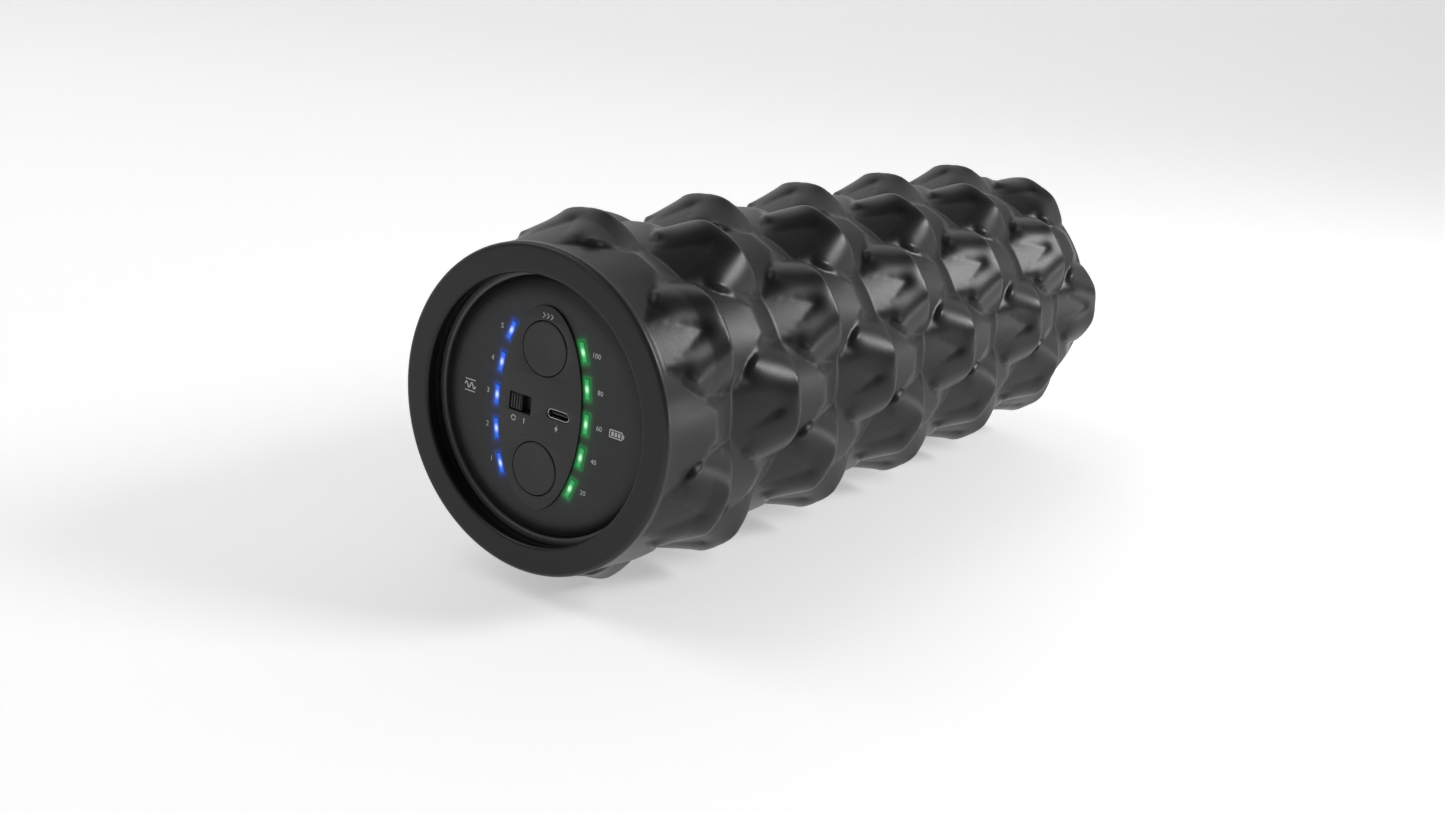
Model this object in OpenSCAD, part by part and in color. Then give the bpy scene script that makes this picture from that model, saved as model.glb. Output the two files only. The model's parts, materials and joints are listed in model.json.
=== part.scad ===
// Vibrating massage roller, lying with its axis along Y and its control panel facing -Y.
// Origin: on the axis, halfway along. +Z runs from the lower button to the upper one.

/* [Sleeve] */
// Overall length of the roller
length = 330; // [320:5:340]
// Radius of the plain ring at each end of the sleeve
ring_r = 53.5; // [53:0.5:55]
// Angle of the first row of knobs, from +X towards +Z
knob_phase = 37; // [0:1:59]
// Height of the knobs' rims above the ring
knob_height = 8.3; // [7:0.1:9]
// Radius of the opening at each end
mouth_r = 43.8; // [43:0.1:44]

/* [Core] */
// Outer radius of the inner tube
tube_r = 46.4; // [46:0.1:47]
// Wall thickness of the inner tube
tube_wall = 3; // [2.5:0.1:3.5]

/* [Control panel] */
// Depth of the bezel's front edge below the end face
bezel_depth = 7; // [6.5:0.1:7.5]
// Half width of the raised oval
oval_a = 16.6; // [16:0.1:17]
// Half height of the raised oval
oval_b = 33.7; // [33:0.1:34]
// Radius of each button cap
button_r = 8.8; // [8:0.1:9]
// Distance of each button from the panel's centre
button_z = 19.9; // [19:0.1:21]
// Travel of each button
button_travel = 0.6; // [0.4:0.1:0.8]
// Travel of the slide switch
switch_travel = 4; // [3:0.5:4]

/* [Motor] */
// Radius of the motor's can
motor_r = 18.5; // [17:0.5:20]
// Radius of the eccentric weights
weight_r = 24; // [20:1:26]

/* [Hidden] */
$fn = 96;
small_fn = 32;
gap = 0.05;

// Colours
foam_black = [0.10, 0.10, 0.105];
shell_black = [0.07, 0.07, 0.075];
trim_grey = [0.30, 0.31, 0.32];
steel = [0.72, 0.73, 0.75];
brass = [0.80, 0.64, 0.30];
board_green = [0.05, 0.32, 0.16];

// Places along Y
front_y = -length / 2;
rear_y = length / 2;
lip = 4;
tube_end = length / 2 - lip;
tube_in_r = tube_r - tube_wall;
counterbore_r = tube_in_r + 1.8;
counterbore_depth = 16;

// ---- helpers ----

// Solid of revolution about Y; children are profiles of [radius, y]
module turned(fn = $fn) {
    rotate([-90, 0, 0]) rotate_extrude($fn = fn) children();
}

// Flat outline in X and Z, extruded along Y from y0 to y1
module slab(y0, y1) {
    translate([0, y1, 0]) rotate([90, 0, 0]) linear_extrude(y1 - y0) children();
}

// Round bar along Y
module bar(r, y0, y1, x = 0, z = 0, fn = $fn) {
    translate([x, y0, z]) rotate([-90, 0, 0]) cylinder(r = r, h = y1 - y0, $fn = fn);
}

module oval(a, b) {
    polygon([for (t = [0:3.75:359]) [a * cos(t), b * sin(t)]]);
}

// Rectangle with round ends, long along X
module slot_outline(w, h) {
    square([w - h, h], center = true);
    for (s = [-1, 1]) translate([s * (w - h) / 2, 0]) circle(r = h / 2, $fn = small_fn);
}

// Puts a piece drawn by its depth below the end face onto the front or the rear end
module at_front() {
    translate([0, front_y, 0]) children();
}

module at_rear() {
    translate([0, rear_y, 0]) mirror([0, 1, 0]) children();
}

// ---- sleeve ----
// The skin is a pattern of overlapping scale-like knobs: six to a ring, each ring turned by half a
// knob from the last. A landmark is [angle off the knob's line, place along the pitch, height].
// Left-hand landmarks mirror the right-hand ones.
rows = 5;
pitch = length / rows;
columns = 12;
column_step = 360 / columns;
VALLEY = [8.2, 0.05, -1.7];
CREASE_1 = [11.4, 0.168, 0.8];
CREASE_2 = [15.7, 0.21, 2.2];
CREASE_3 = [20, 0.338, 0.8];
PEAK = [7.5, 0.439, knob_height];
RIM = [14.8, 0.49, 4.0];
FOOT = [8, 0.555, -0.8];
RIDGE = [5, 0.852, 1.8];
SIDE = [VALLEY, CREASE_1, CREASE_2, CREASE_3, PEAK, RIM, FOOT, RIDGE];
MIDDLE = [[0, 0.335, 4.2], [0, 0.452, knob_height + 0.3], [0, 0.55, -0.8], [0, 0.855, 1.7]];
marks = len(SIDE) * 2 + len(MIDDLE);
function landmark(i) =
    i < len(SIDE) ? SIDE[i] :
    i < 2 * len(SIDE) ? [-SIDE[i - len(SIDE)][0], SIDE[i - len(SIDE)][1], SIDE[i - len(SIDE)][2]] :
    MIDDLE[i - 2 * len(SIDE)];

edge = 1.2;                 // chamfer at each end of the sleeve
shelf = 2.2;                // the knobs' pattern stops this far short of each end
end_drop = 2.2;             // the last half row of knobs is cut lower
function knob_point(k, j, p) =
    let (a = knob_phase + k * column_step + p[0],
         s = (j - (k % 2) / 2 + p[1]) * pitch,
         cut = j == rows && p[2] > 0 ? end_drop : 0,
         r = ring_r + (s < shelf + 1 || s > length - 1 ? max(p[2], -0.9) : p[2] - cut))
    [r * cos(a), min(max(s, shelf), length - shelf) - length / 2, r * sin(a)];

// Vertex numbers: side s is 0 on the right and 1 on the left
function vertex(k, j, i) = (((k + columns) % columns) * (rows + 1) + j) * marks + i;
function side(s, i) = s * len(SIDE) + i;
function centre(i) = 2 * len(SIDE) + i;
function turn(s, k) = s == 0 ? k + 1 : k - 1;
function neighbour(s, k, j, i) = vertex(turn(s, k), j + 1 - (k % 2), side(1 - s, i));
function facing(s, f) = s == 0 ? f : [f[2], f[1], f[0]];

// Faces of the side of a knob that looks towards the panel
function front_faces(k, j) = concat(
    [[vertex(k, j, side(1, 0)), vertex(k, j, side(0, 0)), vertex(k, j, centre(0))]],
    [for (s = [0, 1])
        let (v = vertex(k, j, side(s, 0)), c1 = vertex(k, j, side(s, 1)),
             c2 = vertex(k, j, side(s, 2)), c3 = vertex(k, j, side(s, 3)),
             peak = vertex(k, j, side(s, 4)), rim = vertex(k, j, side(s, 5)),
             foot = vertex(k, j, side(s, 6)), corner = neighbour(s, k, j, 0),
             brow = vertex(k, j, centre(0)), top = vertex(k, j, centre(1)),
             heel = vertex(k, j, centre(2)))
        for (f = [[v, c1, peak], [v, peak, brow], [c1, c2, peak], [c2, c3, peak], [c3, rim, peak],
                  [c3, corner, rim], [peak, rim, foot], [rim, corner, foot], [peak, foot, heel],
                  [peak, heel, top], [brow, peak, top]]) facing(s, f)]);

// Faces behind the rim, down to the next knob
function rear_faces(k, j) = concat(
    [[vertex(k, j, centre(3)), vertex(k, j + 1, side(1, 0)), vertex(k, j + 1, side(0, 0))]],
    [for (s = [0, 1])
        let (foot = vertex(k, j, side(s, 6)), ridge = vertex(k, j, side(s, 7)),
             heel = vertex(k, j, centre(2)), crest = vertex(k, j, centre(3)),
             corner = neighbour(s, k, j, 0), n1 = neighbour(s, k, j, 1),
             n2 = neighbour(s, k, j, 2), n3 = neighbour(s, k, j, 3),
             next = vertex(k, j + 1, side(s, 0)))
        for (f = [[foot, corner, ridge], [foot, ridge, heel], [heel, ridge, crest],
                  [corner, n1, n2], [corner, n2, ridge], [n2, n3, ridge], [n3, next, ridge],
                  [ridge, next, crest]]) facing(s, f)]);

// The ends: a border of 5 vertices to each pair of columns, fanned out to a finer circle
parts = 4;
border_n = columns / 2 * 5;
circle_n = border_n * parts;
function border_vertex(b, last) =
    let (k = 2 * floor(b / 5), i = b % 5, j = last ? rows : 0)
    i == 0 ? vertex(k, j, side(1, 0)) :
    i == 1 ? vertex(k, j, side(0, 0)) :
    i == 2 ? vertex(k + 1, j, side(1, 6)) :
    i == 3 ? vertex(k + 1, j, centre(2)) : vertex(k + 1, j, side(0, 6));
BORDER_ANGLES = [-VALLEY[0], VALLEY[0], column_step - FOOT[0], column_step, column_step + FOOT[0]];
function border_angle(b) = knob_phase + floor(b / 5) * 2 * column_step + BORDER_ANGLES[b % 5];
function circle_angle(c) =
    let (b = floor(c / parts), f = c % parts / parts)
    border_angle(b) * (1 - f) + border_angle(b + 1) * f;
function end_circle(y) =
    [for (c = [0:circle_n - 1]) [ring_r * cos(circle_angle(c)), y, ring_r * sin(circle_angle(c))]];
body_n = columns * (rows + 1) * marks;
function ring_vertex(c, last) = body_n + (last ? circle_n : 0) + c % circle_n;
function flip(f, yes) = yes ? [f[2], f[1], f[0]] : f;
function end_faces(last) = concat(
    [for (b = [0:border_n - 1]) for (i = [0:parts - 1])
        flip([ring_vertex(b * parts + i, last), ring_vertex(b * parts + i + 1, last),
              border_vertex(b, last)], last)],
    [for (b = [0:border_n - 1])
        flip([ring_vertex((b + 1) * parts, last), border_vertex((b + 1) % border_n, last),
              border_vertex(b, last)], last)]);

module knobbed_skin() {
    points = concat(
        [for (k = [0:columns - 1]) for (j = [0:rows]) for (i = [0:marks - 1])
            knob_point(k, j, landmark(i))],
        end_circle(front_y + edge), end_circle(rear_y - edge));
    odd_last = [for (k = [1:2:columns - 1]) for (f = front_faces(k, rows)) f];
    odd_first = [for (k = [1:2:columns - 1]) for (f = rear_faces(k, 0)) f];
    whole = [for (k = [0:columns - 1]) for (j = [k % 2:rows - 1])
        for (f = concat(front_faces(k, j), rear_faces(k, j))) f];
    caps = [[for (c = [0:circle_n - 1]) ring_vertex(circle_n - 1 - c, false)],
            [for (c = [0:circle_n - 1]) ring_vertex(c, true)]];
    polyhedron(points, concat(whole, odd_first, odd_last, end_faces(false), end_faces(true), caps));
}

// Chamfered ring on the end of the skin, just inside the skin's many-sided edge
module end_ring() {
    r = ring_r - 0.1;
    turned() polygon([[0, 0], [r - edge, 0], [r, edge], [0, edge]]);
}

module massage_sleeve() {
    color(foam_black) difference() {
        union() {
            knobbed_skin();
            at_front() end_ring();
            at_rear() end_ring();
        }
        bar(mouth_r, front_y - 1, rear_y + 1);
        bar(tube_r, -tube_end, tube_end);
    }
}

module core_tube() {
    color(shell_black) difference() {
        bar(tube_r, -tube_end, tube_end);
        bar(tube_in_r, -tube_end - 1, tube_end + 1);
        bar(counterbore_r, -tube_end - 1, front_y + lip + counterbore_depth);
        bar(counterbore_r, rear_y - lip - counterbore_depth, tube_end + 1);
    }
}

// ---- ends: bezels, gaskets ----
bezel_inner = 42.4;
ledge_inner = 37.5;
panel_rim_back = 10;        // depths below the end face
gasket_back = 10.4;
ledge_back = 12.8;
bezel_back = 18;
panel_r = bezel_inner - 0.1;
rim_screw_r = 40;           // circle of the screws that hold panel and cap to the ledge
rim_screw_angles = [45:90:315];

module bezel_profile() {
    polygon([[counterbore_r, bezel_depth + 0.5], [counterbore_r - 0.5, bezel_depth],
             [bezel_inner + 0.8, bezel_depth], [bezel_inner, bezel_depth + 0.8],
             [bezel_inner, gasket_back], [ledge_inner, gasket_back], [ledge_inner, ledge_back],
             [rim_screw_r + 2.6, ledge_back], [rim_screw_r + 2.6, bezel_back],
             [counterbore_r, bezel_back]]);
}

module rim_holes(r, d0, d1) {
    for (a = rim_screw_angles)
        bar(r, d0, d1, rim_screw_r * cos(a), rim_screw_r * sin(a), small_fn);
}

module bezel(hole_r) {
    difference() {
        turned() bezel_profile();
        rim_holes(hole_r, gasket_back - 1, ledge_back + 1);
    }
}

module front_bezel() {
    color(trim_grey) at_front() bezel(1.35);
}

module rear_bezel() {
    color(trim_grey) at_rear() bezel(1.1);
}

module gasket() {
    difference() {
        turned() polygon([[ledge_inner, panel_rim_back], [panel_r, panel_rim_back],
                          [panel_r, gasket_back], [ledge_inner, gasket_back]]);
        rim_holes(1.4, panel_rim_back - 1, gasket_back + 1);
    }
}

module end_gaskets() {
    color([0.05, 0.05, 0.05]) {
        at_front() gasket();
        at_rear() gasket();
    }
}

// ---- control panel ----
panel_face = 5.8;           // depth of the panel's face round the oval
rim_face = 8;
web_back = 8;
inlay_face = 5;
inlay_back = 6.3;
boss_x = 27;
boss_z = 19;
board_face = 15.5;
board_back = 17.1;
board_r = 36;
led_a = 18.4;               // the light bars stand on an oval round the inlay
led_b = 36.9;
led_w = 2.2;
led_l = 7;
led_pitch = 11.2;
window_x = -8;
window_w = 9;
window_h = 6;
usb_x = 7.5;
usb_w = 8.94;
usb_h = 3.16;
usb_wall = 0.3;

function led_z(i) = (3 - i) * led_pitch;
function led_x(i) = led_a * sqrt(1 - pow(led_z(i) / led_b, 2));
function led_lean(i) = atan(pow(led_a / led_b, 2) * led_z(i) / led_x(i));

// side is -1 for the left bars and 1 for the right bars
module led_outline(side, i, grow = 0) {
    translate([side * led_x(i), led_z(i)]) rotate(side * led_lean(i))
        square([led_w + 2 * grow, led_l + 2 * grow], center = true);
}

module panel_cutouts() {
    for (z = [-button_z, button_z]) bar(button_r + 0.25, 0, 14, 0, z);
    slab(0, 14) translate([window_x, 0]) square([window_w, window_h], center = true);
    slab(0, 14) translate([usb_x, 0]) slot_outline(usb_w + 0.2, usb_h + 0.2);
}

module control_panel() {
    color(shell_black) at_front() difference() {
        union() {
            turned() polygon([[0, panel_face], [35, panel_face], [38.5, panel_face + 0.5],
                              [40.8, panel_face + 1.3], [panel_r, rim_face],
                              [panel_r, panel_rim_back], [36, panel_rim_back], [34, web_back],
                              [0, web_back]]);
            for (x = [-boss_x, boss_x]) for (z = [-boss_z, boss_z])
                bar(3, web_back - 0.5, board_face, x, z, small_fn);
        }
        slab(0, inlay_back) oval(oval_a + gap, oval_b + gap);
        panel_cutouts();
        for (side = [-1, 1]) for (i = [1:5]) slab(0, 14) led_outline(side, i, gap);
        for (x = [-boss_x, boss_x]) for (z = [-boss_z, boss_z])
            bar(1.1, web_back + 0.5, board_face + 1, x, z, small_fn);
        rim_holes(1.1, panel_rim_back - 1.5, panel_rim_back + 1);
    }
}

module panel_inlay() {
    color([0.12, 0.12, 0.125]) at_front() difference() {
        union() {
            slab(inlay_face + 0.4, inlay_back) oval(oval_a, oval_b);
            slab(inlay_face, inlay_face + 0.4) oval(oval_a - 0.4, oval_b - 0.4);
        }
        panel_cutouts();
    }
}

module pan_screws(places, r, head_r, head_h, head_y, tip_y) {
    for (p = places) {
        bar(r, min(head_y, tip_y), max(head_y, tip_y), p[0], p[1], small_fn);
        bar(head_r, head_y, head_y + head_h, p[0], p[1], small_fn);
    }
}

module panel_screws() {
    places = [for (a = rim_screw_angles) rim_screw_r * [cos(a), sin(a)]];
    color(steel) at_front() pan_screws(places, 1.1, 2.2, 1.2, ledge_back, panel_rim_back - 1.2);
}

// ---- buttons ----
cap_face = 4.8;
flange_face = 8.4;
flange_back = 9.2;
stem_back = 10.6;
switch_face = 12;

module button_cap(z) {
    color([0.09, 0.09, 0.095]) at_front() {
        translate([0, 0, z]) {
            turned() polygon([[0, cap_face], [button_r - 0.6, cap_face], [button_r, cap_face + 0.6],
                              [button_r, flange_face], [button_r + 1.1, flange_face],
                              [button_r + 1.1, flange_back], [1.6, flange_back],
                              [1.6, stem_back], [0, stem_back]]);
        }
    }
}

module button_plunger(z) {
    color([0.85, 0.85, 0.82]) at_front() bar(1.7, stem_back, switch_face + 1.2, 0, z, small_fn);
}

module button_switches() {
    color([0.16, 0.16, 0.17]) at_front() for (z = [-button_z, button_z]) difference() {
        translate([-3, switch_face, z - 3]) cube([6, board_face - switch_face, 6]);
        bar(1.78, switch_face - 1, switch_face + 2.4, 0, z, small_fn);
    }
}

// ---- slide switch ----
knob_w = 4.6;
knob_x0 = window_x - window_w / 2 + 0.2;
module slide_knob() {
    knob_h = window_h - 0.5;
    color([0.14, 0.14, 0.15]) at_front() {
        difference() {
            translate([knob_x0, 5.2, -knob_h / 2]) cube([knob_w, flange_face - 5.2, knob_h]);
            for (x = [1, 2.3, 3.6])
                translate([knob_x0 + x - 0.25, 5, -knob_h]) cube([0.5, 0.6, 2 * knob_h]);
        }
        translate([knob_x0 - 3, flange_face, -4]) cube([knob_w + 5.5, 0.8, 8]);
        translate([knob_x0 + knob_w / 2 - 0.9, flange_back, -0.9]) cube([1.8, 4, 1.8]);
    }
}

module slide_switch_body() {
    stem_x = knob_x0 + knob_w / 2;
    color([0.62, 0.63, 0.65]) at_front() difference() {
        translate([stem_x - 3.5, 11, -3.4]) cube([switch_travel + 7, board_face - 11, 6.8]);
        translate([stem_x - 1.3, 10, -1.3]) cube([switch_travel + 2.6, 4, 2.6]);
    }
}

// ---- light bars ----
lens_face = panel_face - 0.15;
lens_back = 13.6;
module led_lens(side, i) {
    color(side < 0 ? [0.35, 0.60, 1.0] : [0.35, 0.95, 0.45])
        at_front() slab(lens_face, lens_back) led_outline(side, i);
}

module led_chips() {
    color([0.92, 0.92, 0.88]) at_front() for (side = [-1, 1]) for (i = [1:5])
        slab(lens_back + 0.2, board_face) led_outline(side, i, -0.3);
}

// ---- USB port ----
module usb_shell() {
    color(steel) at_front() difference() {
        slab(5.4, board_face) translate([usb_x, 0]) slot_outline(usb_w, usb_h);
        slab(5, 14.5) translate([usb_x, 0])
            slot_outline(usb_w - 2 * usb_wall, usb_h - 2 * usb_wall);
    }
}

module usb_tongue() {
    color([0.05, 0.05, 0.06]) at_front() translate([usb_x - 3.35, 6.4, -0.35]) cube([6.7, 8.1, 0.7]);
}

// ---- main board ----
module main_board() {
    color(board_green) at_front() difference() {
        bar(board_r, board_face, board_back);
        for (x = [-boss_x, boss_x]) for (z = [-boss_z, boss_z])
            bar(1.3, board_face - 1, board_back + 1, x, z, small_fn);
    }
}

module board_parts() {
    b = board_back;
    color([0.08, 0.08, 0.08]) at_front() {
        translate([-5, b, -5]) cube([10, 1.4, 10]);
        translate([10, b, -12]) cube([8, 4, 8]);
        translate([-20, b, 6]) cube([5, 1.2, 4]);
        bar(4, b, b + 11, -15, -16, small_fn);
        for (x = [-10, 2]) translate([x, b, 27]) cube([8, 5, 6]);
    }
}

module board_screws() {
    places = [for (x = [-boss_x, boss_x]) for (z = [-boss_z, boss_z]) [x, z]];
    color(steel) at_front() pan_screws(places, 1.1, 2.3, 1.6, board_back, board_face - 5);
}

// ---- vibration motor, along the axis ----
motor_mid = -45;
can_half = 29;
shaft_r = 2.5;
weight_near = 43;
weight_far = 57;
bulkhead_near = 71;
bulkhead_t = 6;

module motor_can() {
    color(steel) difference() {
        bar(motor_r, motor_mid - can_half, motor_mid + can_half);
        bar(motor_r - 1.2, motor_mid - can_half + 2, motor_mid + can_half + 1);
        bar(shaft_r + gap, motor_mid - can_half - 1, motor_mid + can_half, fn = small_fn);
    }
}

module motor_end_bell() {
    color([0.15, 0.15, 0.16]) difference() {
        union() {
            bar(motor_r, motor_mid + can_half, motor_mid + can_half + 4);
            bar(motor_r - 1.2 - gap, motor_mid + can_half - 3, motor_mid + can_half);
            for (x = [-6, 6]) translate([x - 1.5, motor_mid + can_half + 4, 11]) cube([3, 3, 1]);
        }
        bar(motor_r - 3, motor_mid + can_half - 4, motor_mid + can_half + 1);
        bar(shaft_r + gap, motor_mid, motor_mid + can_half + 9, fn = small_fn);
    }
}

module motor_magnets() {
    r = motor_r - 1.2;
    color([0.25, 0.25, 0.27]) intersection() {
        difference() {
            bar(r, motor_mid - 20, motor_mid + 14);
            bar(r - 3.2, motor_mid - 21, motor_mid + 15);
        }
        union() for (s = [-1, 1])
            translate([s * (motor_r + 2) - motor_r, motor_mid - 20, -14]) cube([2 * motor_r, 34, 28]);
    }
}

module armature() {
    core_r = motor_r - 5;
    color([0.55, 0.38, 0.22]) difference() {
        bar(core_r, motor_mid - 18, motor_mid + 12);
        bar(shaft_r, motor_mid - 19, motor_mid + 13, fn = small_fn);
        for (a = [0:72:288]) rotate([0, a, 0])
            translate([core_r - 4, motor_mid - 19, -1]) cube([5, 32, 2]);
    }
}

module commutator() {
    color(brass) difference() {
        bar(5, motor_mid + 14, motor_mid + 23);
        bar(shaft_r, motor_mid + 13, motor_mid + 24, fn = small_fn);
    }
}

module motor_brushes() {
    color([0.10, 0.10, 0.10]) for (s = [-1, 1])
        translate([s * 8.5 - 3.2, motor_mid + 16, -2]) cube([6.4, 5, 4]);
}

module rotor_shaft() {
    half = bulkhead_near + bulkhead_t - 0.5;
    color(steel) bar(shaft_r, motor_mid - half, motor_mid + half, fn = small_fn);
}

// A heavy half disc with a hub, hanging down
module eccentric(y0, y1) {
    mid = (y0 + y1) / 2;
    color([0.45, 0.46, 0.48]) difference() {
        union() {
            intersection() {
                bar(weight_r, y0, y1);
                translate([-weight_r, y0, -2 * weight_r]) cube([2 * weight_r, y1 - y0, 2 * weight_r]);
            }
            bar(7, y0, y1);
        }
        bar(shaft_r, y0 - 1, y1 + 1, fn = small_fn);
        translate([0, mid, 0]) cylinder(r = 1.5, h = 8, $fn = small_fn);
    }
}

module front_weight() {
    eccentric(motor_mid - weight_far, motor_mid - weight_near);
}

module rear_weight() {
    eccentric(motor_mid + weight_near, motor_mid + weight_far);
}

module weight_set_screws() {
    half = (weight_near + weight_far) / 2;
    color([0.2, 0.2, 0.2]) for (s = [-1, 1])
        translate([0, motor_mid + s * half, shaft_r]) cylinder(r = 1.5, h = 3.5, $fn = small_fn);
}

// ---- ball bearings in the bulkheads ----
module at_bearings() {
    for (s = [-1, 1]) translate([0, motor_mid + s * (bulkhead_near + bulkhead_t / 2), 0]) children();
}

module tube_ring(r0, r1, half) {
    difference() {
        bar(r1, -half, half);
        bar(r0, -half - 1, half + 1);
    }
}

module bearing_inner_races() {
    color(steel) at_bearings() tube_ring(shaft_r, 4.2, 2.5);
}

module bearing_balls() {
    color([0.85, 0.86, 0.88]) at_bearings() for (a = [0:45:315])
        translate([5.4 * cos(a), 0, 5.4 * sin(a)]) sphere(r = 1.15, $fn = small_fn);
}

module bearing_outer_races() {
    color(steel) at_bearings() tube_ring(6.6, 8, 2.5);
}

// ---- frame inside the tube ----
rod_r = 2;
rod_ring = 36;
rod_angles = [30, 150, 270];
cable_x = 6;
cable_z = 37.5;
band = 1.4;

module rod_holes() {
    for (a = rod_angles)
        bar(rod_r, front_y, rear_y, rod_ring * cos(a), rod_ring * sin(a), small_fn);
}

module cable_notches() {
    for (x = [-cable_x, cable_x]) bar(2.4, front_y, rear_y, x, cable_z, small_fn);
}

// outward is -1 for the front bulkhead and 1 for the rear one: the bearing's seat opens that way
module bulkhead(y0, outward) {
    mid = y0 + bulkhead_t / 2;
    color([0.20, 0.21, 0.22]) difference() {
        bar(tube_in_r - band, y0, y0 + bulkhead_t);
        bar(8, mid - (outward < 0 ? bulkhead_t : 2.5), mid + (outward > 0 ? bulkhead_t : 2.5));
        bar(6, y0 - 1, y0 + bulkhead_t + 1);
        rod_holes();
        cable_notches();
        for (a = [0, 60, 120, 180, 240, 300])
            bar(6, y0 - 1, y0 + bulkhead_t + 1, 22 * cos(a), 22 * sin(a), small_fn);
    }
}

module front_bulkhead() {
    bulkhead(motor_mid - bulkhead_near - bulkhead_t, -1);
}

module rear_bulkhead() {
    bulkhead(motor_mid + bulkhead_near, 1);
}

module damping_rings() {
    color([0.06, 0.06, 0.06]) at_bearings() tube_ring(tube_in_r - band, tube_in_r, bulkhead_t / 2);
}

saddle_y0 = motor_mid - 20;
saddle_y1 = motor_mid + 20;
module motor_saddle() {
    color([0.20, 0.21, 0.22]) difference() {
        intersection() {
            bar(tube_in_r, saddle_y0, saddle_y1);
            translate([-50, saddle_y0, -50]) cube([100, saddle_y1 - saddle_y0, 50]);
        }
        bar(motor_r, saddle_y0 - 1, saddle_y1 + 1);
        translate([-60, saddle_y0 + 6, -60]) difference() {
            cube([120, saddle_y1 - saddle_y0 - 12, 56]);
            translate([60, -1, 60]) bar(motor_r + 4, 0, 60);
        }
        rod_holes();
        for (x = [-24, 24]) for (y = [saddle_y0 + 3, saddle_y1 - 3])
            translate([x, y, -8]) cylinder(r = 1.5, h = 10, $fn = small_fn);
    }
}

module motor_clamp() {
    color([0.20, 0.21, 0.22]) difference() {
        union() {
            intersection() {
                bar(motor_r + 4, saddle_y0, saddle_y1);
                translate([-50, saddle_y0, 0]) cube([100, saddle_y1 - saddle_y0, 50]);
            }
            for (s = [-1, 1]) translate([s * 24 - 5, saddle_y0, 0])
                cube([10, saddle_y1 - saddle_y0, 4]);
        }
        bar(motor_r + gap, saddle_y0 - 1, saddle_y1 + 1);
        for (x = [-24, 24]) for (y = [saddle_y0 + 3, saddle_y1 - 3]) translate([x, y, -1]) {
            cylinder(r = 1.6, h = 10, $fn = small_fn);
            translate([0, 0, 5]) cylinder(r = 3, h = 12, $fn = small_fn);
        }
    }
}

module clamp_screws() {
    color(steel) for (x = [-24, 24]) for (y = [saddle_y0 + 3, saddle_y1 - 3]) {
        translate([x, y, -7]) cylinder(r = 1.5, h = 11, $fn = small_fn);
        translate([x, y, 4]) cylinder(r = 2.75, h = 2, $fn = small_fn);
    }
}

module tie_rods() {
    color(steel) for (a = rod_angles)
        bar(rod_r, motor_mid - bulkhead_near - bulkhead_t, battery_y1 + 4,
            rod_ring * cos(a), rod_ring * sin(a), small_fn);
}

// ---- battery pack ----
battery_y0 = 42;
battery_y1 = 107;
cell_r = 9.2;
cell_off = 10.25;
strip_t = 0.3;

module cell_places() {
    for (x = [-cell_off, cell_off]) for (z = [-cell_off, cell_off]) translate([x, 0, z]) children();
}

module battery_cells() {
    color([0.16, 0.36, 0.62]) cell_places() bar(cell_r, battery_y0 + strip_t, battery_y1 - strip_t);
}

// Round plate with a pocket for each cell; pocket_y is where the pockets' floors are
module battery_holder(y0, y1, pocket_y0, pocket_y1) {
    color([0.24, 0.25, 0.26]) difference() {
        bar(tube_in_r, y0, y1);
        cell_places() bar(cell_r + gap, pocket_y0, pocket_y1);
        rod_holes();
        cable_notches();
        for (x = [-30, 30]) bar(6, y0 - 1, y1 + 1, x, -8, small_fn);
    }
}

module battery_holder_front() {
    battery_holder(battery_y0 - 4, battery_y0 + 2, battery_y0, battery_y0 + 3);
}

module battery_holder_rear() {
    battery_holder(battery_y1 - 2, battery_y1 + 4, battery_y1 - 3, battery_y1);
}

module nickel_strips() {
    color([0.78, 0.78, 0.76]) cell_places() {
        bar(4, battery_y0, battery_y0 + strip_t, fn = small_fn);
        bar(4, battery_y1 - strip_t, battery_y1, fn = small_fn);
    }
}

module battery_board() {
    color(board_green) translate([-12, battery_y0 + 2, cell_off + cell_r + 0.6])
        cube([24, battery_y1 - battery_y0 - 4, 1.6]);
}

// ---- cables: each lies in a plane of constant x ----
lead_r = 1.2;
board_y = front_y + board_back;
// Points are [y, z]
MOTOR_ROUTE = [[board_y + 5, 30], [board_y + 9, 30.5], [board_y + 13, 34], [board_y + 18, 37.3],
               [-110, cable_z], [-80, cable_z], [-50, cable_z], [-26, cable_z], [-18, 36],
               [-13.5, 32], [-11, 26], [-10.2, 20], [-10.4, 12]];
BATTERY_ROUTE = [[board_y + 5, 30], [board_y + 9, 30.5], [board_y + 13, 34], [board_y + 18, 37.3],
                 [-110, cable_z], [-60, cable_z], [-10, cable_z], [30, cable_z], [48, 37],
                 [55, 34], [58, 29], [58.5, 21.7]];

module lead(x, route) {
    sides = 8;
    n = len(route);
    function tangent(i) =
        let (d = route[min(i + 1, n - 1)] - route[max(i - 1, 0)]) d / norm(d);
    points = [for (i = [0:n - 1]) for (a = [0:sides - 1])
        let (t = tangent(i), u = lead_r * cos(a * 45), v = lead_r * sin(a * 45))
        [x + u, route[i][0] - v * t[1], route[i][1] + v * t[0]]];
    walls = [for (i = [0:n - 2]) for (a = [0:sides - 1])
        let (b = (a + 1) % sides)
        [i * sides + a, (i + 1) * sides + a, (i + 1) * sides + b, i * sides + b]];
    ends = [[for (a = [0:sides - 1]) a], [for (a = [0:sides - 1]) n * sides - 1 - a]];
    polyhedron(points, concat(walls, ends));
}

module motor_cable() {
    color([0.75, 0.12, 0.10]) lead(-cable_x, MOTOR_ROUTE);
}

module battery_cable() {
    color([0.75, 0.12, 0.10]) lead(cable_x, BATTERY_ROUTE);
}

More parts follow.
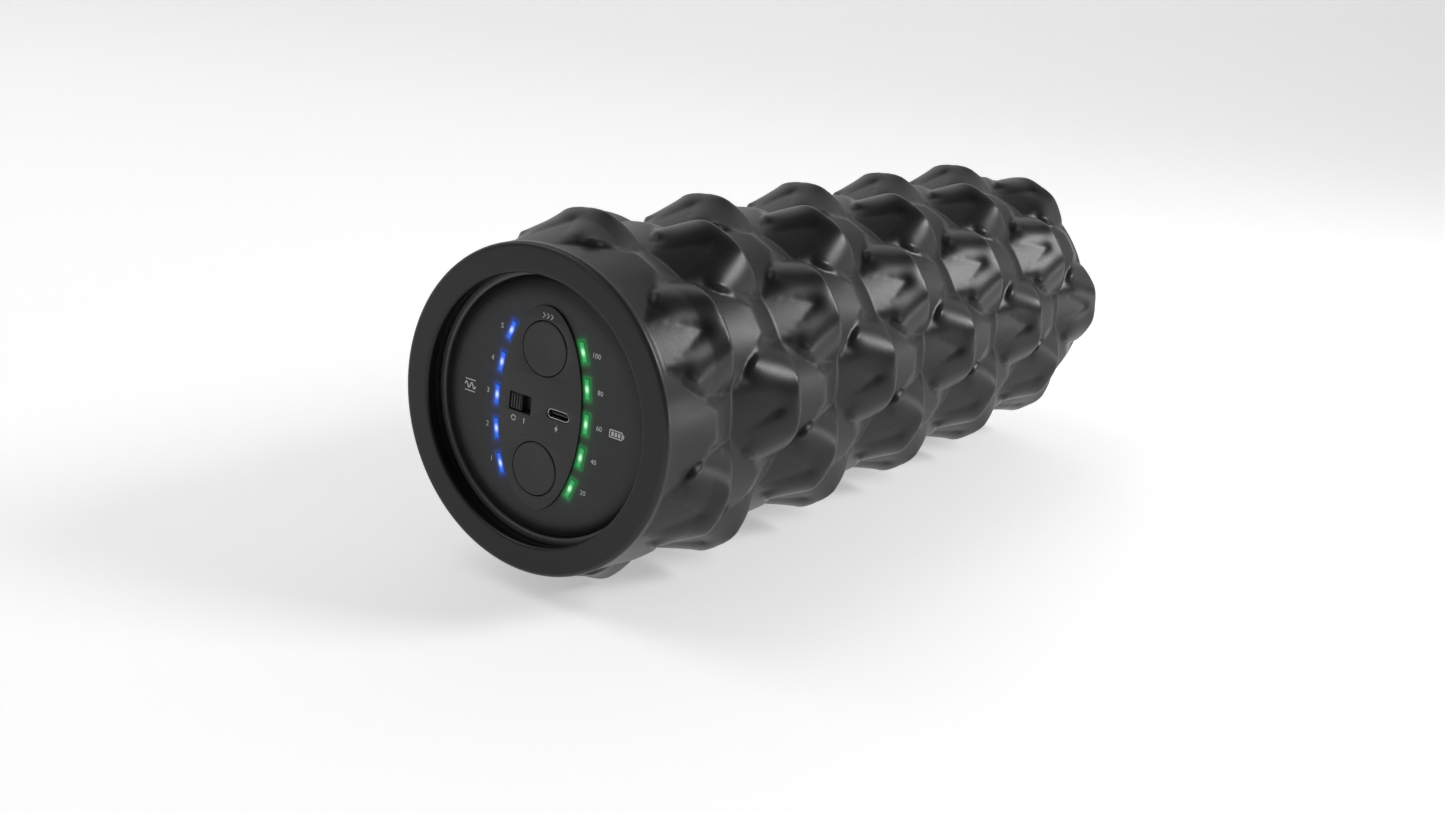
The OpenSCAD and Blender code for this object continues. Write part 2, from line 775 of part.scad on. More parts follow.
// ---- rear cap ----
cap_screw_head = 1.4;
module rear_cap() {
    color(shell_black) at_rear() difference() {
        turned() polygon([[0, 6.6], [24, 6.6], [25, 7.4], [33, 7.4], [35, 6.6], [38.8, 6.8],
                          [41, 7.3], [panel_r, rim_face], [panel_r, panel_rim_back],
                          [37, panel_rim_back], [35, 9.2], [0, 9.2]]);
        rim_holes(1.4, 0, 14);
        rim_holes(2.4, 0, 7 + cap_screw_head);
    }
}

module rear_cap_screws() {
    head_back = 7 + cap_screw_head;
    color(steel) at_rear() for (a = rim_screw_angles) translate([rim_screw_r * cos(a), 0, rim_screw_r * sin(a)]) {
        bar(1.1, head_back, ledge_back, fn = small_fn);
        difference() {
            bar(2.3, head_back - cap_screw_head, head_back, fn = small_fn);
            for (t = [0, 90]) rotate([0, t, 0])
                translate([-1.3, head_back - cap_screw_head - 1, -0.25]) cube([2.6, 1.6, 0.5]);
        }
    }
}

// ---- what is drawn ----
massage_sleeve();
core_tube();
front_bezel();
control_panel();
panel_inlay();
end_gaskets();
panel_screws();
button_cap(button_z);  // mode_button
button_cap(-button_z);  // power_button
button_plunger(button_z);  // mode_plunger
button_plunger(-button_z);  // power_plunger
button_switches();
slide_knob();
slide_switch_body();
for (i = [1:5]) {
    led_lens(-1, i);
    led_lens(1, i);
}
led_chips();
usb_shell();
usb_tongue();
main_board();
board_parts();
board_screws();
motor_can();
motor_end_bell();
motor_magnets();
motor_brushes();
armature();
commutator();
rotor_shaft();
front_weight();
rear_weight();
weight_set_screws();
bearing_inner_races();
bearing_balls();
bearing_outer_races();
front_bulkhead();
rear_bulkhead();
damping_rings();
motor_saddle();
motor_clamp();
clamp_screws();
tie_rods();
battery_cells();
battery_holder_front();
battery_holder_rear();
nickel_strips();
battery_board();
motor_cable();
battery_cable();
rear_bezel();
rear_cap();
rear_cap_screws();
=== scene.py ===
"""The looks of a vibrating foam roller: knobbed sleeve, recessed control panel, plain rear cap.

Metres, in the CAD model's frame: the axis is Y, the panel faces -Y, +Z is the panel's up."""

import json
import math

import bmesh
import bpy
import numpy as np
from mathutils import Matrix, Vector


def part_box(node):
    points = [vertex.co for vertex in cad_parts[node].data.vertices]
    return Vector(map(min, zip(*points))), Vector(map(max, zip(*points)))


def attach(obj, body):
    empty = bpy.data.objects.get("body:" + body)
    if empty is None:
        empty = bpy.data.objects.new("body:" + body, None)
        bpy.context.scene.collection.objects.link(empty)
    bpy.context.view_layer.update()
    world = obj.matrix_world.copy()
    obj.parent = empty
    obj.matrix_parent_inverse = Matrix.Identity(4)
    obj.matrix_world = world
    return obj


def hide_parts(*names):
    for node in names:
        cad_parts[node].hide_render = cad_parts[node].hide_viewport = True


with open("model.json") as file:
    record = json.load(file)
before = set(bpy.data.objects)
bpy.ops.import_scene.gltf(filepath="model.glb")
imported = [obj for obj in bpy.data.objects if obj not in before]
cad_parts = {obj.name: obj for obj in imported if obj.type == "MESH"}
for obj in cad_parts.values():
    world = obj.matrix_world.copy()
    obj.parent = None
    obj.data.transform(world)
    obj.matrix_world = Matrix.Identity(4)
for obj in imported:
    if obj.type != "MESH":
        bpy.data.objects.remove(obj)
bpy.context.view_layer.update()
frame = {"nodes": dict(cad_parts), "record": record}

MM = 0.001
SLEEVE_LO, SLEEVE_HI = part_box("massage_sleeve")
LENGTH = SLEEVE_HI.y - SLEEVE_LO.y
FRONT_Y, REAR_Y = SLEEVE_LO.y, SLEEVE_HI.y
FACE_MARGIN = 0.02 * MM    # how far pieces stay inside the faces they stand for


# -------------------- camera, stage, lights

CAMERA_PLACE = (0.29855, -0.52623, 0.15115)
CAMERA_ANGLES = (32.23, 16.90, 7.28)    # azimuth, elevation and roll, in degrees
CAMERA_SENSOR, CAMERA_LENS = 36, 38.92    # millimetres

# Each light is a soft rectangle that faces the origin: name, place, width and height, watts.
LIGHTS = [("key", (1.08, 0.70, 0.92), (0.5, 0.5), 13),
          ("right_low", (1.35, 0.95, 0.02), (0.6, 0.25), 2.5),
          ("front_fill", (-0.35, -1.7, 0.75), (1.0, 0.6), 2),
          ("overhead", (-1.2, -0.9, 1.8), (1.6, 1.6), 14)]

# The floor lies square to the camera's view: level up to STAGE_LEVEL, then curved up into a wall.
STAGE_AHEAD, STAGE_SIDE = Vector((-0.533, 0.846, 0)), Vector((0.846, 0.533, 0))
STAGE_REACH = 40.0
STAGE_LEVEL, STAGE_CURVE, STAGE_TOP = 1.6, 1.4, 5.0
FLOOR_GAP = 0.3 * MM

WORLD_COLOUR, WORLD_STRENGTH = (0.94, 0.945, 0.95, 1), 0.14


def make_camera():
    """Sees the panel end from its right and from above. The roll stands for the roller's own small
    turn about its axis, which the upright panel leaves out."""
    azimuth, elevation, roll = (math.radians(angle) for angle in CAMERA_ANGLES)
    back = Vector((math.sin(azimuth) * math.cos(elevation),
                   -math.cos(azimuth) * math.cos(elevation), math.sin(elevation)))
    right = Vector((0, 0, 1)).cross(back).normalized()
    up = back.cross(right)
    turned_right = right * math.cos(roll) + up * math.sin(roll)
    turned_up = back.cross(turned_right)
    data = bpy.data.cameras.new("camera")
    data.sensor_width = CAMERA_SENSOR
    data.lens = CAMERA_LENS
    data.clip_start, data.clip_end = 0.01, 50
    camera = new_object("camera", data)
    basis = Matrix((turned_right, turned_up, back)).transposed().to_4x4()
    camera.matrix_world = Matrix.Translation(CAMERA_PLACE) @ basis
    bpy.context.scene.camera = camera


def make_lights():
    for name, place, size, power in LIGHTS:
        data = bpy.data.lights.new(name, "AREA")
        data.shape = "RECTANGLE"
        data.size, data.size_y = size
        data.energy = power
        light = new_object(name, data)
        light.location = place
        light.rotation_euler = (-Vector(place)).to_track_quat("-Z", "Y").to_euler()


def make_stage():
    """Pale floor that curves up into a wall behind the roller."""
    section = [(-STAGE_REACH, 0.0), (0.0, 0.0), (STAGE_LEVEL, 0.0)]
    section += [(STAGE_LEVEL + STAGE_CURVE * math.sin(a), STAGE_CURVE * (1 - math.cos(a)))
                for a in np.radians(np.arange(6, 91, 6))]
    section += [(STAGE_LEVEL + STAGE_CURVE, STAGE_TOP)]
    points = []
    for distance, height in section:
        for reach in (-STAGE_REACH, STAGE_REACH):
            point = STAGE_AHEAD * distance + STAGE_SIDE * reach
            points.append((point.x, point.y, SLEEVE_LO.z - FLOOR_GAP + height))
    faces = [(2 * i, 2 * i + 1, 2 * i + 3, 2 * i + 2) for i in range(len(section) - 1)]
    sweep = new_object("floor", mesh_from_arrays("floor", points, faces))
    sweep.data.shade_smooth()
    sweep.data.materials.append(stage_material())


def make_world():
    world = bpy.data.worlds.new("studio")
    bpy.context.scene.world = world
    world.use_nodes = True
    background = world.node_tree.nodes["Background"]
    background.inputs["Color"].default_value = WORLD_COLOUR
    background.inputs["Strength"].default_value = WORLD_STRENGTH
    view = bpy.context.scene.view_settings
    view.view_transform = "Standard"
    view.look = "None"
    view.exposure = 0.0
    view.gamma = 1.0


# -------------------- materials

class Nodes:
    """A short way to write a material's node tree."""

    MIX_A, MIX_B, MIX_RESULT = 6, 7, 2    # a mix node's colour sockets

    def __init__(self, name):
        self.material = bpy.data.materials.new(name)
        self.material.use_nodes = True
        self.tree = self.material.node_tree
        self.shader = self.tree.nodes["Principled BSDF"]

    def add(self, kind, **settings):
        node = self.tree.nodes.new(kind)
        for key, value in settings.items():
            setattr(node, key, value)
        return node

    def link(self, source, target):
        self.tree.links.new(source, target)

    def noise(self, scale, detail=3.0, roughness=0.55):
        texture = self.add("ShaderNodeTexNoise")
        texture.inputs["Scale"].default_value = scale
        texture.inputs["Detail"].default_value = detail
        texture.inputs["Roughness"].default_value = roughness
        self.link(self.coordinates(), texture.inputs["Vector"])
        return texture.outputs["Fac"]

    def coordinates(self):
        if not hasattr(self, "_coordinates"):
            self._coordinates = self.add("ShaderNodeTexCoord").outputs["Object"]
        return self._coordinates

    def ramp(self, value, low, high, start=0.0, end=1.0):
        """Maps value from start..end to low..high; colours or numbers."""
        if isinstance(low, (int, float)):
            node = self.add("ShaderNodeMapRange")
            node.inputs["From Min"].default_value = start
            node.inputs["From Max"].default_value = end
            node.inputs["To Min"].default_value = low
            node.inputs["To Max"].default_value = high
            self.link(value, node.inputs["Value"])
            return node.outputs["Result"]
        node = self.add("ShaderNodeValToRGB")
        node.color_ramp.elements[0].position = start
        node.color_ramp.elements[0].color = (*low, 1)
        node.color_ramp.elements[1].position = end
        node.color_ramp.elements[1].color = (*high, 1)
        self.link(value, node.inputs["Fac"])
        return node.outputs["Color"]

    def mix(self, share, a, b):
        node = self.add("ShaderNodeMix", data_type="RGBA")
        self.link(share, node.inputs["Factor"])
        for socket, value in ((node.inputs[self.MIX_A], a), (node.inputs[self.MIX_B], b)):
            if isinstance(value, tuple):
                socket.default_value = (*value, 1)
            else:
                self.link(value, socket)
        return node.outputs[self.MIX_RESULT]

    def attribute(self, name):
        return self.add("ShaderNodeAttribute", attribute_name=name).outputs["Fac"]

    def bump(self, height, strength, distance, under=None):
        node = self.add("ShaderNodeBump")
        node.inputs["Strength"].default_value = strength
        node.inputs["Distance"].default_value = distance
        self.link(height, node.inputs["Height"])
        if under is not None:
            self.link(under, node.inputs["Normal"])
        return node.outputs["Normal"]

    def set(self, **values):
        for key, value in values.items():
            socket = self.shader.inputs[key.replace("_", " ")]
            if hasattr(value, "is_linked"):
                self.link(value, socket)
            else:
                socket.default_value = (*value, 1) if isinstance(value, tuple) else value
        return self.material


def moulded(name, dark, light, roughness, grain=900, grain_depth=0.05, mottle=35, metallic=0.0):
    """Moulded or metal surface: slight colour and gloss variation and a fine grain."""
    n = Nodes(name)
    broad = n.noise(mottle, 4)
    fine = n.noise(grain, 2)
    return n.set(Base_Color=n.ramp(broad, dark, light, 0.35, 0.68),
                 Roughness=n.ramp(fine, roughness - 0.05, roughness + 0.06, 0.3, 0.7),
                 Normal=n.bump(fine, 0.25, grain_depth * MM),
                 Metallic=metallic)


def foam_material():
    """Closed-cell moulded foam: near black, satin, with a painted highlight that makes it paler along its
    ridges and end fillets.
    """
    n = Nodes("sleeve_foam")
    broad, fine = n.noise(22, 4), n.noise(1500, 3, 0.7)
    pores = n.noise(420, 2)
    body = n.ramp(broad, (0.0032, 0.0032, 0.0034), (0.0052, 0.0052, 0.0055), 0.35, 0.68)
    # Painted highlight: the colour turns a paler grey along the knobs' ridges and the end fillets, as the
    # mesh's highlight attribute says.
    ridge = n.attribute("ridge")
    colour = n.mix(n.ramp(ridge, 0.0, 0.7), body, (0.022, 0.022, 0.023))
    rough = n.add("ShaderNodeMath", operation="ADD")
    n.link(n.ramp(broad, 0.29, 0.35, 0.3, 0.7), rough.inputs[0])
    n.link(n.ramp(fine, -0.03, 0.05, 0.3, 0.7), rough.inputs[1])
    grain = n.bump(fine, 0.22, 0.04 * MM)
    return n.set(Base_Color=colour, Roughness=rough.outputs[0], Specular_IOR_Level=0.36,
                 Normal=n.bump(pores, 0.12, 0.05 * MM, grain))


def glow_material(name, dark, light, roughness):
    """Panel plastic with the light bars' spill on it, from the mesh's own glow attributes."""
    n = Nodes(name)
    broad, fine = n.noise(40, 4), n.noise(1300, 2)
    blue = n.mix(n.attribute("glow_blue"), (0.0, 0.0, 0.0), (0.0, 0.075, 0.55))
    green = n.mix(n.attribute("glow_green"), (0.0, 0.0, 0.0), (0.0, 0.38, 0.07))
    both = n.add("ShaderNodeMix", data_type="RGBA", blend_type="ADD")
    both.inputs["Factor"].default_value = 1.0
    n.link(blue, both.inputs[n.MIX_A])
    n.link(green, both.inputs[n.MIX_B])
    return n.set(Base_Color=n.ramp(broad, dark, light, 0.35, 0.68),
                 Roughness=n.ramp(fine, roughness - 0.05, roughness + 0.06, 0.3, 0.7),
                 Normal=n.bump(fine, 0.22, 0.035 * MM),
                 Emission_Color=both.outputs[n.MIX_RESULT], Emission_Strength=1.0)


def faded(colour, share):
    return tuple(share * channel for channel in colour)


def lens_material(name, edge, middle):
    """Lit light bar: dim at its border, coloured inside, a white-hot spot over its chip."""
    n = Nodes(name)
    haze = n.ramp(n.noise(700, 2), 0.0, 0.5, 0.3, 0.7)
    body = n.mix(haze, edge, faded(edge, 0.5))
    body = n.mix(n.attribute("inside"), faded(edge, 0.12), body)
    colour = n.mix(n.attribute("hot_spot"), body, middle)
    return n.set(Base_Color=faded(edge, 0.3), Roughness=0.25,
                 Emission_Color=colour, Emission_Strength=1.0)


def stage_material():
    n = Nodes("pale_floor")
    return n.set(Base_Color=n.ramp(n.noise(3, 3), (0.80, 0.80, 0.80), (0.82, 0.82, 0.82)),
                 Roughness=0.8, Emission_Color=(1.0, 1.0, 1.0), Emission_Strength=0.42)


def grey(value):
    """A grey that leans a little to blue."""
    return value, value, value * 1.03


def make_materials():
    """Every material by its name."""
    steel_dark, steel_light = (0.50, 0.51, 0.53), (0.66, 0.67, 0.69)
    return {
        "sleeve_foam": foam_material(),
        "shell_plastic": moulded("shell_plastic", grey(0.003), grey(0.006), 0.6),
        "trim_plastic": moulded("trim_plastic", grey(0.060), grey(0.078), 0.45),
        "panel_plastic": glow_material("panel_plastic", grey(0.006), grey(0.0095), 0.48),
        "inlay_plastic": moulded("inlay_plastic", grey(0.0075), grey(0.0115), 0.44, 1300, 0.035),
        "button_plastic": moulded("button_plastic", grey(0.0075), grey(0.0115), 0.42),
        "white_plastic": moulded("white_plastic", (0.70, 0.70, 0.67), (0.80, 0.80, 0.77), 0.45),
        "part_plastic": moulded("part_plastic", grey(0.004), grey(0.010), 0.35),
        "black_rubber": moulded("black_rubber", grey(0.006), grey(0.012), 0.7, 600, 0.08),
        "frame_plastic": moulded("frame_plastic", grey(0.03), grey(0.05), 0.55, 500, 0.08),
        "circuit_board": moulded("circuit_board", (0.008, 0.07, 0.03), (0.015, 0.11, 0.05), 0.3),
        "zinc_steel": moulded("zinc_steel", steel_dark, steel_light, 0.32, 1200, 0.02, 60, 1.0),
        "weight_metal": moulded("weight_metal", grey(0.18), grey(0.26), 0.5, 500, 0.06, 60, 1.0),
        "magnet": moulded("magnet", grey(0.05), grey(0.08), 0.6, 700, 0.05, 60),
        "copper_winding": moulded("copper_winding", (0.35, 0.14, 0.06), (0.50, 0.22, 0.09),
                                  0.35, 300, 0.2, 60, 1.0),
        "brass": moulded("brass", (0.60, 0.42, 0.16), (0.72, 0.53, 0.22), 0.3, 900, 0.02, 60, 1.0),
        "cell_wrap": moulded("cell_wrap", (0.02, 0.07, 0.22), (0.03, 0.10, 0.30), 0.22),
        "cable_skin": moulded("cable_skin", (0.30, 0.012, 0.01), (0.42, 0.02, 0.015), 0.45),
        "blue_lens": lens_material("blue_lens", (0.001, 0.10, 0.72), (0.75, 0.95, 1.4)),
        "green_lens": lens_material("green_lens", (0.003, 0.34, 0.075), (0.75, 1.35, 0.85)),
        "print_white": moulded("print_white", (0.42, 0.42, 0.42), (0.52, 0.52, 0.52), 0.5, 900, 0.01),
        "print_dim": moulded("print_dim", grey(0.022), grey(0.03), 0.5, 900, 0.01),
        # Near-black colour for the sheet behind the inlay: painted shade in its gaps.
        "painted_gap_shade": moulded("painted_gap_shade", grey(0.0012), grey(0.0024), 0.7),
    }


# -------------------- mesh helpers

def finish_piece(obj, material, body="roller", replaces=(), smooth=True, angle=35):
    """Gives a piece its material, its body and the CAD nodes that it stands for. Edges
    sharper than the angle, in degrees, stay sharp."""
    obj.data.materials.clear()
    obj.data.materials.append(material)
    if smooth:
        obj.data.shade_smooth()
        if angle:
            obj.data.set_sharp_from_angle(angle=math.radians(angle))
    if replaces:
        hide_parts(*replaces)
    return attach(obj, body)


def new_object(name, data):
    """Puts a mesh, curve, light or camera into the scene."""
    obj = bpy.data.objects.new(name, data)
    bpy.context.scene.collection.objects.link(obj)
    return obj


def mesh_from_arrays(name, points, faces):
    mesh = bpy.data.meshes.new(name)
    mesh.from_pydata([tuple(p) for p in points], [], [tuple(f) for f in faces])
    mesh.update()
    return mesh


def grid_faces(rows, columns, close_rows=False):
    """Quads of a grid of rows x columns points that closes round its columns."""
    faces = []
    last = rows if close_rows else rows - 1
    for i in range(last):
        a, b = i * columns, (i + 1) % rows * columns
        faces += [(a + j, a + (j + 1) % columns, b + (j + 1) % columns, b + j)
                  for j in range(columns)]
    return faces


def outward(obj):
    """Makes every face's normal point out of the closed mesh."""
    bm = bmesh.new()
    bm.from_mesh(obj.data)
    bmesh.ops.recalc_face_normals(bm, faces=bm.faces)
    bm.to_mesh(obj.data)
    bm.free()
    return obj


def arc_points(x, z, radius, start, end, steps):
    """Points of an arc from start to end, in degrees."""
    return [(x + radius * math.cos(math.radians(a)), z + radius * math.sin(math.radians(a)))
            for a in np.linspace(start, end, steps)]


def revolve(name, profile, steps=128, centre=(0, 0), closed=True):
    """Turns a profile of (radius, y) about the line along Y through centre (x, z). A closed profile
    makes a ring; an open one starts and ends on the axis."""
    inner = profile if closed else profile[1:-1]
    points = []
    for radius, y in inner:
        for k in range(steps):
            a = 2 * math.pi * k / steps
            points.append((centre[0] + radius * math.cos(a), y, centre[1] + radius * math.sin(a)))
    faces = grid_faces(len(inner), steps, closed)
    if not closed:
        first, last = len(points), len(points) + 1
        points += [(centre[0], profile[0][1], centre[1]), (centre[0], profile[-1][1], centre[1])]
        top = (len(inner) - 1) * steps
        faces += [(first, (k + 1) % steps, k) for k in range(steps)]
        faces += [(last, top + k, top + (k + 1) % steps) for k in range(steps)]
    return outward(new_object(name, mesh_from_arrays(name, points, faces)))


def oval_points(x, z, a, b, steps):
    """Outline of an oval, or of a circle where a and b are the same."""
    turns = [2 * math.pi * k / steps for k in range(steps)]
    return [(x + a * math.cos(turn), z + b * math.sin(turn)) for turn in turns]


def stadium_points(x, z, width, height, steps=12):
    """Outline with round ends, long along X."""
    radius, half = height / 2, (width - height) / 2
    return (arc_points(x + half, z, radius, -90, 90, steps)
            + arc_points(x - half, z, radius, 90, 270, steps))


def rounded_rect(x, z, width, height, radius, steps=6):
    """Outline of a rectangle with round corners."""
    points = []
    for side_x, side_z, start in ((1, 1, 0), (-1, 1, 90), (-1, -1, 180), (1, -1, 270)):
        corner_x = x + side_x * (width / 2 - radius)
        corner_z = z + side_z * (height / 2 - radius)
        points += arc_points(corner_x, corner_z, radius, start, start + 90, steps)
    return points


def curve_to_mesh(curve):
    """The mesh of a curve's finished shape; the curve itself goes."""
    holder = new_object(curve.name + "_curve", curve)
    bpy.context.view_layer.update()
    shape = holder.evaluated_get(bpy.context.evaluated_depsgraph_get())
    mesh = bpy.data.meshes.new_from_object(shape)
    bpy.data.objects.remove(holder)
    bpy.data.curves.remove(curve)
    return mesh


def facing_front(x, y, z):
    """Turns a shape drawn flat in XY to face -Y and moves it to a place."""
    return Matrix(((1, 0, 0, x), (0, 0, -1, y), (0, 1, 0, z), (0, 0, 0, 1)))


def plate(name, outlines, y_face, y_back, bevel):
    """Flat plate facing -Y, from outlines of (x, z) points; the first is its edge, the rest are holes."""
    curve = bpy.data.curves.new(name, "CURVE")
    curve.dimensions = "2D"
    curve.fill_mode = "BOTH"
    curve.extrude = (y_back - y_face) / 2 - bevel
    curve.bevel_depth = bevel
    curve.bevel_resolution = 2
    curve.offset = -bevel
    for outline in outlines:
        spline = curve.splines.new("POLY")
        spline.points.add(len(outline) - 1)
        for point, (x, z) in zip(spline.points, outline):
            point.co = (x, z, 0, 1)
        spline.use_cyclic_u = True
    mesh = curve_to_mesh(curve)
    mesh.name = name
    mesh.transform(facing_front(0, (y_face + y_back) / 2, 0))
    obj = new_object(name, mesh)
    merge(obj, 0.002 * MM)
    return outward(obj)


def merge(obj, distance):
    """Welds points that lie closer than the distance."""
    bm = bmesh.new()
    bm.from_mesh(obj.data)
    bmesh.ops.remove_doubles(bm, verts=bm.verts, dist=distance)
    bm.to_mesh(obj.data)
    bm.free()


def block(name, low, high, bevel, segments=3):
    """Box with rounded edges."""
    bm = bmesh.new()
    bmesh.ops.create_cube(bm, size=1)
    for vertex in bm.verts:
        vertex.co = Vector([low[i] + (vertex.co[i] + 0.5) * (high[i] - low[i]) for i in range(3)])
    bmesh.ops.bevel(bm, geom=bm.edges[:], offset=bevel, segments=segments, profile=0.5, affect="EDGES")
    mesh = bpy.data.meshes.new(name)
    bm.to_mesh(mesh)
    bm.free()
    return new_object(name, mesh)


def join(objects, name):
    """Joins meshes into one piece."""
    bm = bmesh.new()
    for obj in objects:
        bm.from_mesh(obj.data)
    mesh = bpy.data.meshes.new(name)
    bm.to_mesh(mesh)
    bm.free()
    for obj in objects:
        bpy.data.objects.remove(obj)
    return new_object(name, mesh)


def cut(obj, cutter):
    """Takes the cutter's shape out of a piece; the cutter goes."""
    modifier = obj.modifiers.new("cut", "BOOLEAN")
    modifier.operation = "DIFFERENCE"
    modifier.solver = "EXACT"
    modifier.object = cutter
    bpy.context.view_layer.update()
    shape = obj.evaluated_get(bpy.context.evaluated_depsgraph_get())
    mesh = bpy.data.meshes.new_from_object(shape)
    mesh.name = obj.name
    obj.modifiers.clear()
    obj.data = mesh
    bpy.data.objects.remove(cutter)


def set_attribute(obj, name, values):
    """Stores one number per point for the materials to read."""
    attribute = obj.data.attributes.new(name, "FLOAT", "POINT")
    attribute.data.foreach_set("value", np.asarray(values, np.float32))


def coordinates(obj):
    """The mesh's points as an array with a row for each."""
    co = np.zeros(len(obj.data.vertices) * 3)
    obj.data.vertices.foreach_get("co", co)
    return co.reshape(-1, 3)


# -------------------- the sleeve
# One knob and its half-step neighbour fill a patch 60 degrees wide and one pitch long, which repeats
# six times round the sleeve and five times along it. Landmarks are (angle off the knob's line in
# degrees, place along the pitch, height above the plain ring in millimetres).

ROWS = 5
PITCH = LENGTH / ROWS
KNOBS_ROUND = 6
PATCH_ANGLE = 360 / KNOBS_ROUND
RING_R = 53.5 * MM
PHASE = 37.0    # degrees from +X to the first knob's line
PATCH_COLUMNS, PATCH_ROWS = 84, 98
VALLEY, NEXT_VALLEY = (8.2, 0.050, -1.7), (8.2, 1.050, -1.7)
CREASE_1, CREASE_2, CREASE_3 = (11.4, 0.168, 0.8), (15.7, 0.210, 2.2), (20.0, 0.338, 0.8)
CORNER = (21.8, 0.550, -1.7)
BROW, PEAK, TOP = (0.0, 0.335, 4.7), (7.5, 0.439, 8.3), (0.0, 0.450, 8.5)
RIM = (14.8, 0.490, 4.1)
FOOT, HEEL = (8.0, 0.555, -0.8), (0.0, 0.550, -0.8)
RIDGE, CREST = (5.0, 0.852, 1.8), (0.0, 0.855, 1.7)
SIDE_1, SIDE_2, SIDE_3 = [(30 - c[0], 0.5 + c[1], c[2]) for c in (CREASE_1, CREASE_2, CREASE_3)]
DOME_FACES = [(VALLEY, CREASE_1, PEAK), (VALLEY, PEAK, BROW), (CREASE_1, CREASE_2, PEAK),
              (CREASE_2, CREASE_3, PEAK), (CREASE_3, RIM, PEAK), (CREASE_3, CORNER, RIM),
              (BROW, PEAK, TOP)]
OTHER_FACES = [(PEAK, RIM, FOOT), (RIM, CORNER, FOOT), (PEAK, FOOT, HEEL), (PEAK, HEEL, TOP),
               (FOOT, CORNER, RIDGE), (FOOT, RIDGE, HEEL), (HEEL, RIDGE, CREST),
               (CORNER, SIDE_1, SIDE_2), (CORNER, SIDE_2, RIDGE), (SIDE_2, SIDE_3, RIDGE),
               (SIDE_3, NEXT_VALLEY, RIDGE), (RIDGE, NEXT_VALLEY, CREST)]
CREASE_LINE = [VALLEY, CREASE_1, CREASE_2, CREASE_3, CORNER]
RIM_LINE = [TOP, PEAK, RIM, CORNER]
STRAIGHT_LINES = [(VALLEY, BROW), (HEEL, FOOT), (FOOT, CORNER), (CORNER, RIDGE),
                  (RIDGE, CREST), (RIDGE, NEXT_VALLEY)]

# How the flat-faced patch is softened. Heights are in millimetres and blurs in steps of its grid.
RELAXATIONS = 420
CROWN = 0.0065    # added to the domes at each relaxation
EDGE_BLUR, BROAD_BLUR = 0.8, 2.6
FULL_HIGHLIGHT = 0.5    # height over the broad blur where a ridge's painted highlight is full

# How the pattern meets the two ends, in millimetres. Near an end it stays under a slope that starts
# FREE from the end face and is STEEP, and it blends in from nothing after PLAIN.
SKIPPED_ROWS = 2    # rows of the grid that each end's fillet takes up
LOW_PART = 2.2    # height up to which the last row keeps its full shape
LAST_ROW_LOSS, LAST_ROW_START, LAST_ROW_FADE = 0.24, 24, 16
LIFT_ANGLES, LIFT_HEIGHTS = [0, 8.2, 22, 30], [1.7, 1.7, 0.8, 0.8]
LIFT_START, LIFT_FADE = 3.4, 18.6
CEILING_REACH, NO_CEILING = 14, 99.0
FRONT_STEEP, REAR_STEEP = 0.55, 2.6
FRONT_FREE, REAR_FREE = 3.5, 1.8
FRONT_PLAIN, REAR_PLAIN = 0.8, 1.4
FRONT_BLEND, REAR_BLEND = 2.2, 3.2
# A painted highlight band near each end face: its distance from the end face and its width.
HIGHLIGHT_LINE, HIGHLIGHT_WIDTH = 1.2, 1.1

# The ends: a mouth with rounded edges, and a wider bore behind its lip.
SKIN_FILLET, MOUTH_FILLET = 1.5 * MM, 1.0 * MM
MOUTH_R, BORE_R = 43.8 * MM, 46.4 * MM
LIP = 4 * MM
BORE_STEPS = 8


def mirrored(landmark):
    """The same landmark on the other side of its knob's line."""
    return (-landmark[0], landmark[1], landmark[2])


def copies(points):
    """The landmarks on both sides of their knob and on every knob that reaches the patch."""
    for side in (1, -1):
        for column in range(-1, 4):
            for row in (-2, -1, 0, 1):
                yield [(side * a + 30.0 * column, t + row + 0.5 * (column % 2), h)
                       for a, t, h in points]


def patch_heights():
    """Flat-faced height above the ring over one patch, in millimetres, and where the domes are."""
    angle = (np.arange(PATCH_COLUMNS) / PATCH_COLUMNS * PATCH_ANGLE)[None, :]
    place = (np.arange(PATCH_ROWS) / PATCH_ROWS)[:, None]
    angle, place = np.broadcast_arrays(angle, place)
    height = np.zeros(angle.shape)
    dome = np.zeros(angle.shape, bool)
    front = (mirrored(VALLEY), VALLEY, BROW)
    rear = (CREST, mirrored(NEXT_VALLEY), NEXT_VALLEY)
    for face in DOME_FACES + OTHER_FACES + [front, rear]:
        for (ax, ay, ah), (bx, by, bh), (cx, cy, ch) in copies(face):
            area = (bx - ax) * (cy - ay) - (cx - ax) * (by - ay)
            wb = ((angle - ax) * (cy - ay) - (cx - ax) * (place - ay)) / area
            wc = ((bx - ax) * (place - ay) - (angle - ax) * (by - ay)) / area
            inside = (wb + wc < 1 + 1e-6) & (wb > -1e-6) & (wc > -1e-6)
            height = np.where(inside, (1 - wb - wc) * ah + wb * bh + wc * ch, height)
            dome = np.where(inside, face in DOME_FACES, dome)
    return height, dome


def rounded_line(points, steps=40):
    """A smooth curve through landmarks."""
    ends = [points[0], *points, points[-1]]
    line = []
    for i in range(1, len(ends) - 2):
        p0, p1, p2, p3 = (np.array(p) for p in ends[i - 1:i + 3])
        for u in np.linspace(0, 1, steps):
            line.append(0.5 * (2 * p1 + (p2 - p0) * u + (2 * p0 - 5 * p1 + 4 * p2 - p3) * u ** 2
                               + (3 * p1 - p0 - 3 * p2 + p3) * u ** 3))
    return line


def edge_lines():
    """Every line along which the surface keeps an edge."""
    lines = [rounded_line(CREASE_LINE), rounded_line(RIM_LINE), [TOP, PEAK]]
    for start, end in STRAIGHT_LINES + [(mirrored(VALLEY), VALLEY)]:
        lines.append([np.array(start) + (np.array(end) - np.array(start)) * u
                      for u in np.linspace(0, 1, 80)])
    return lines


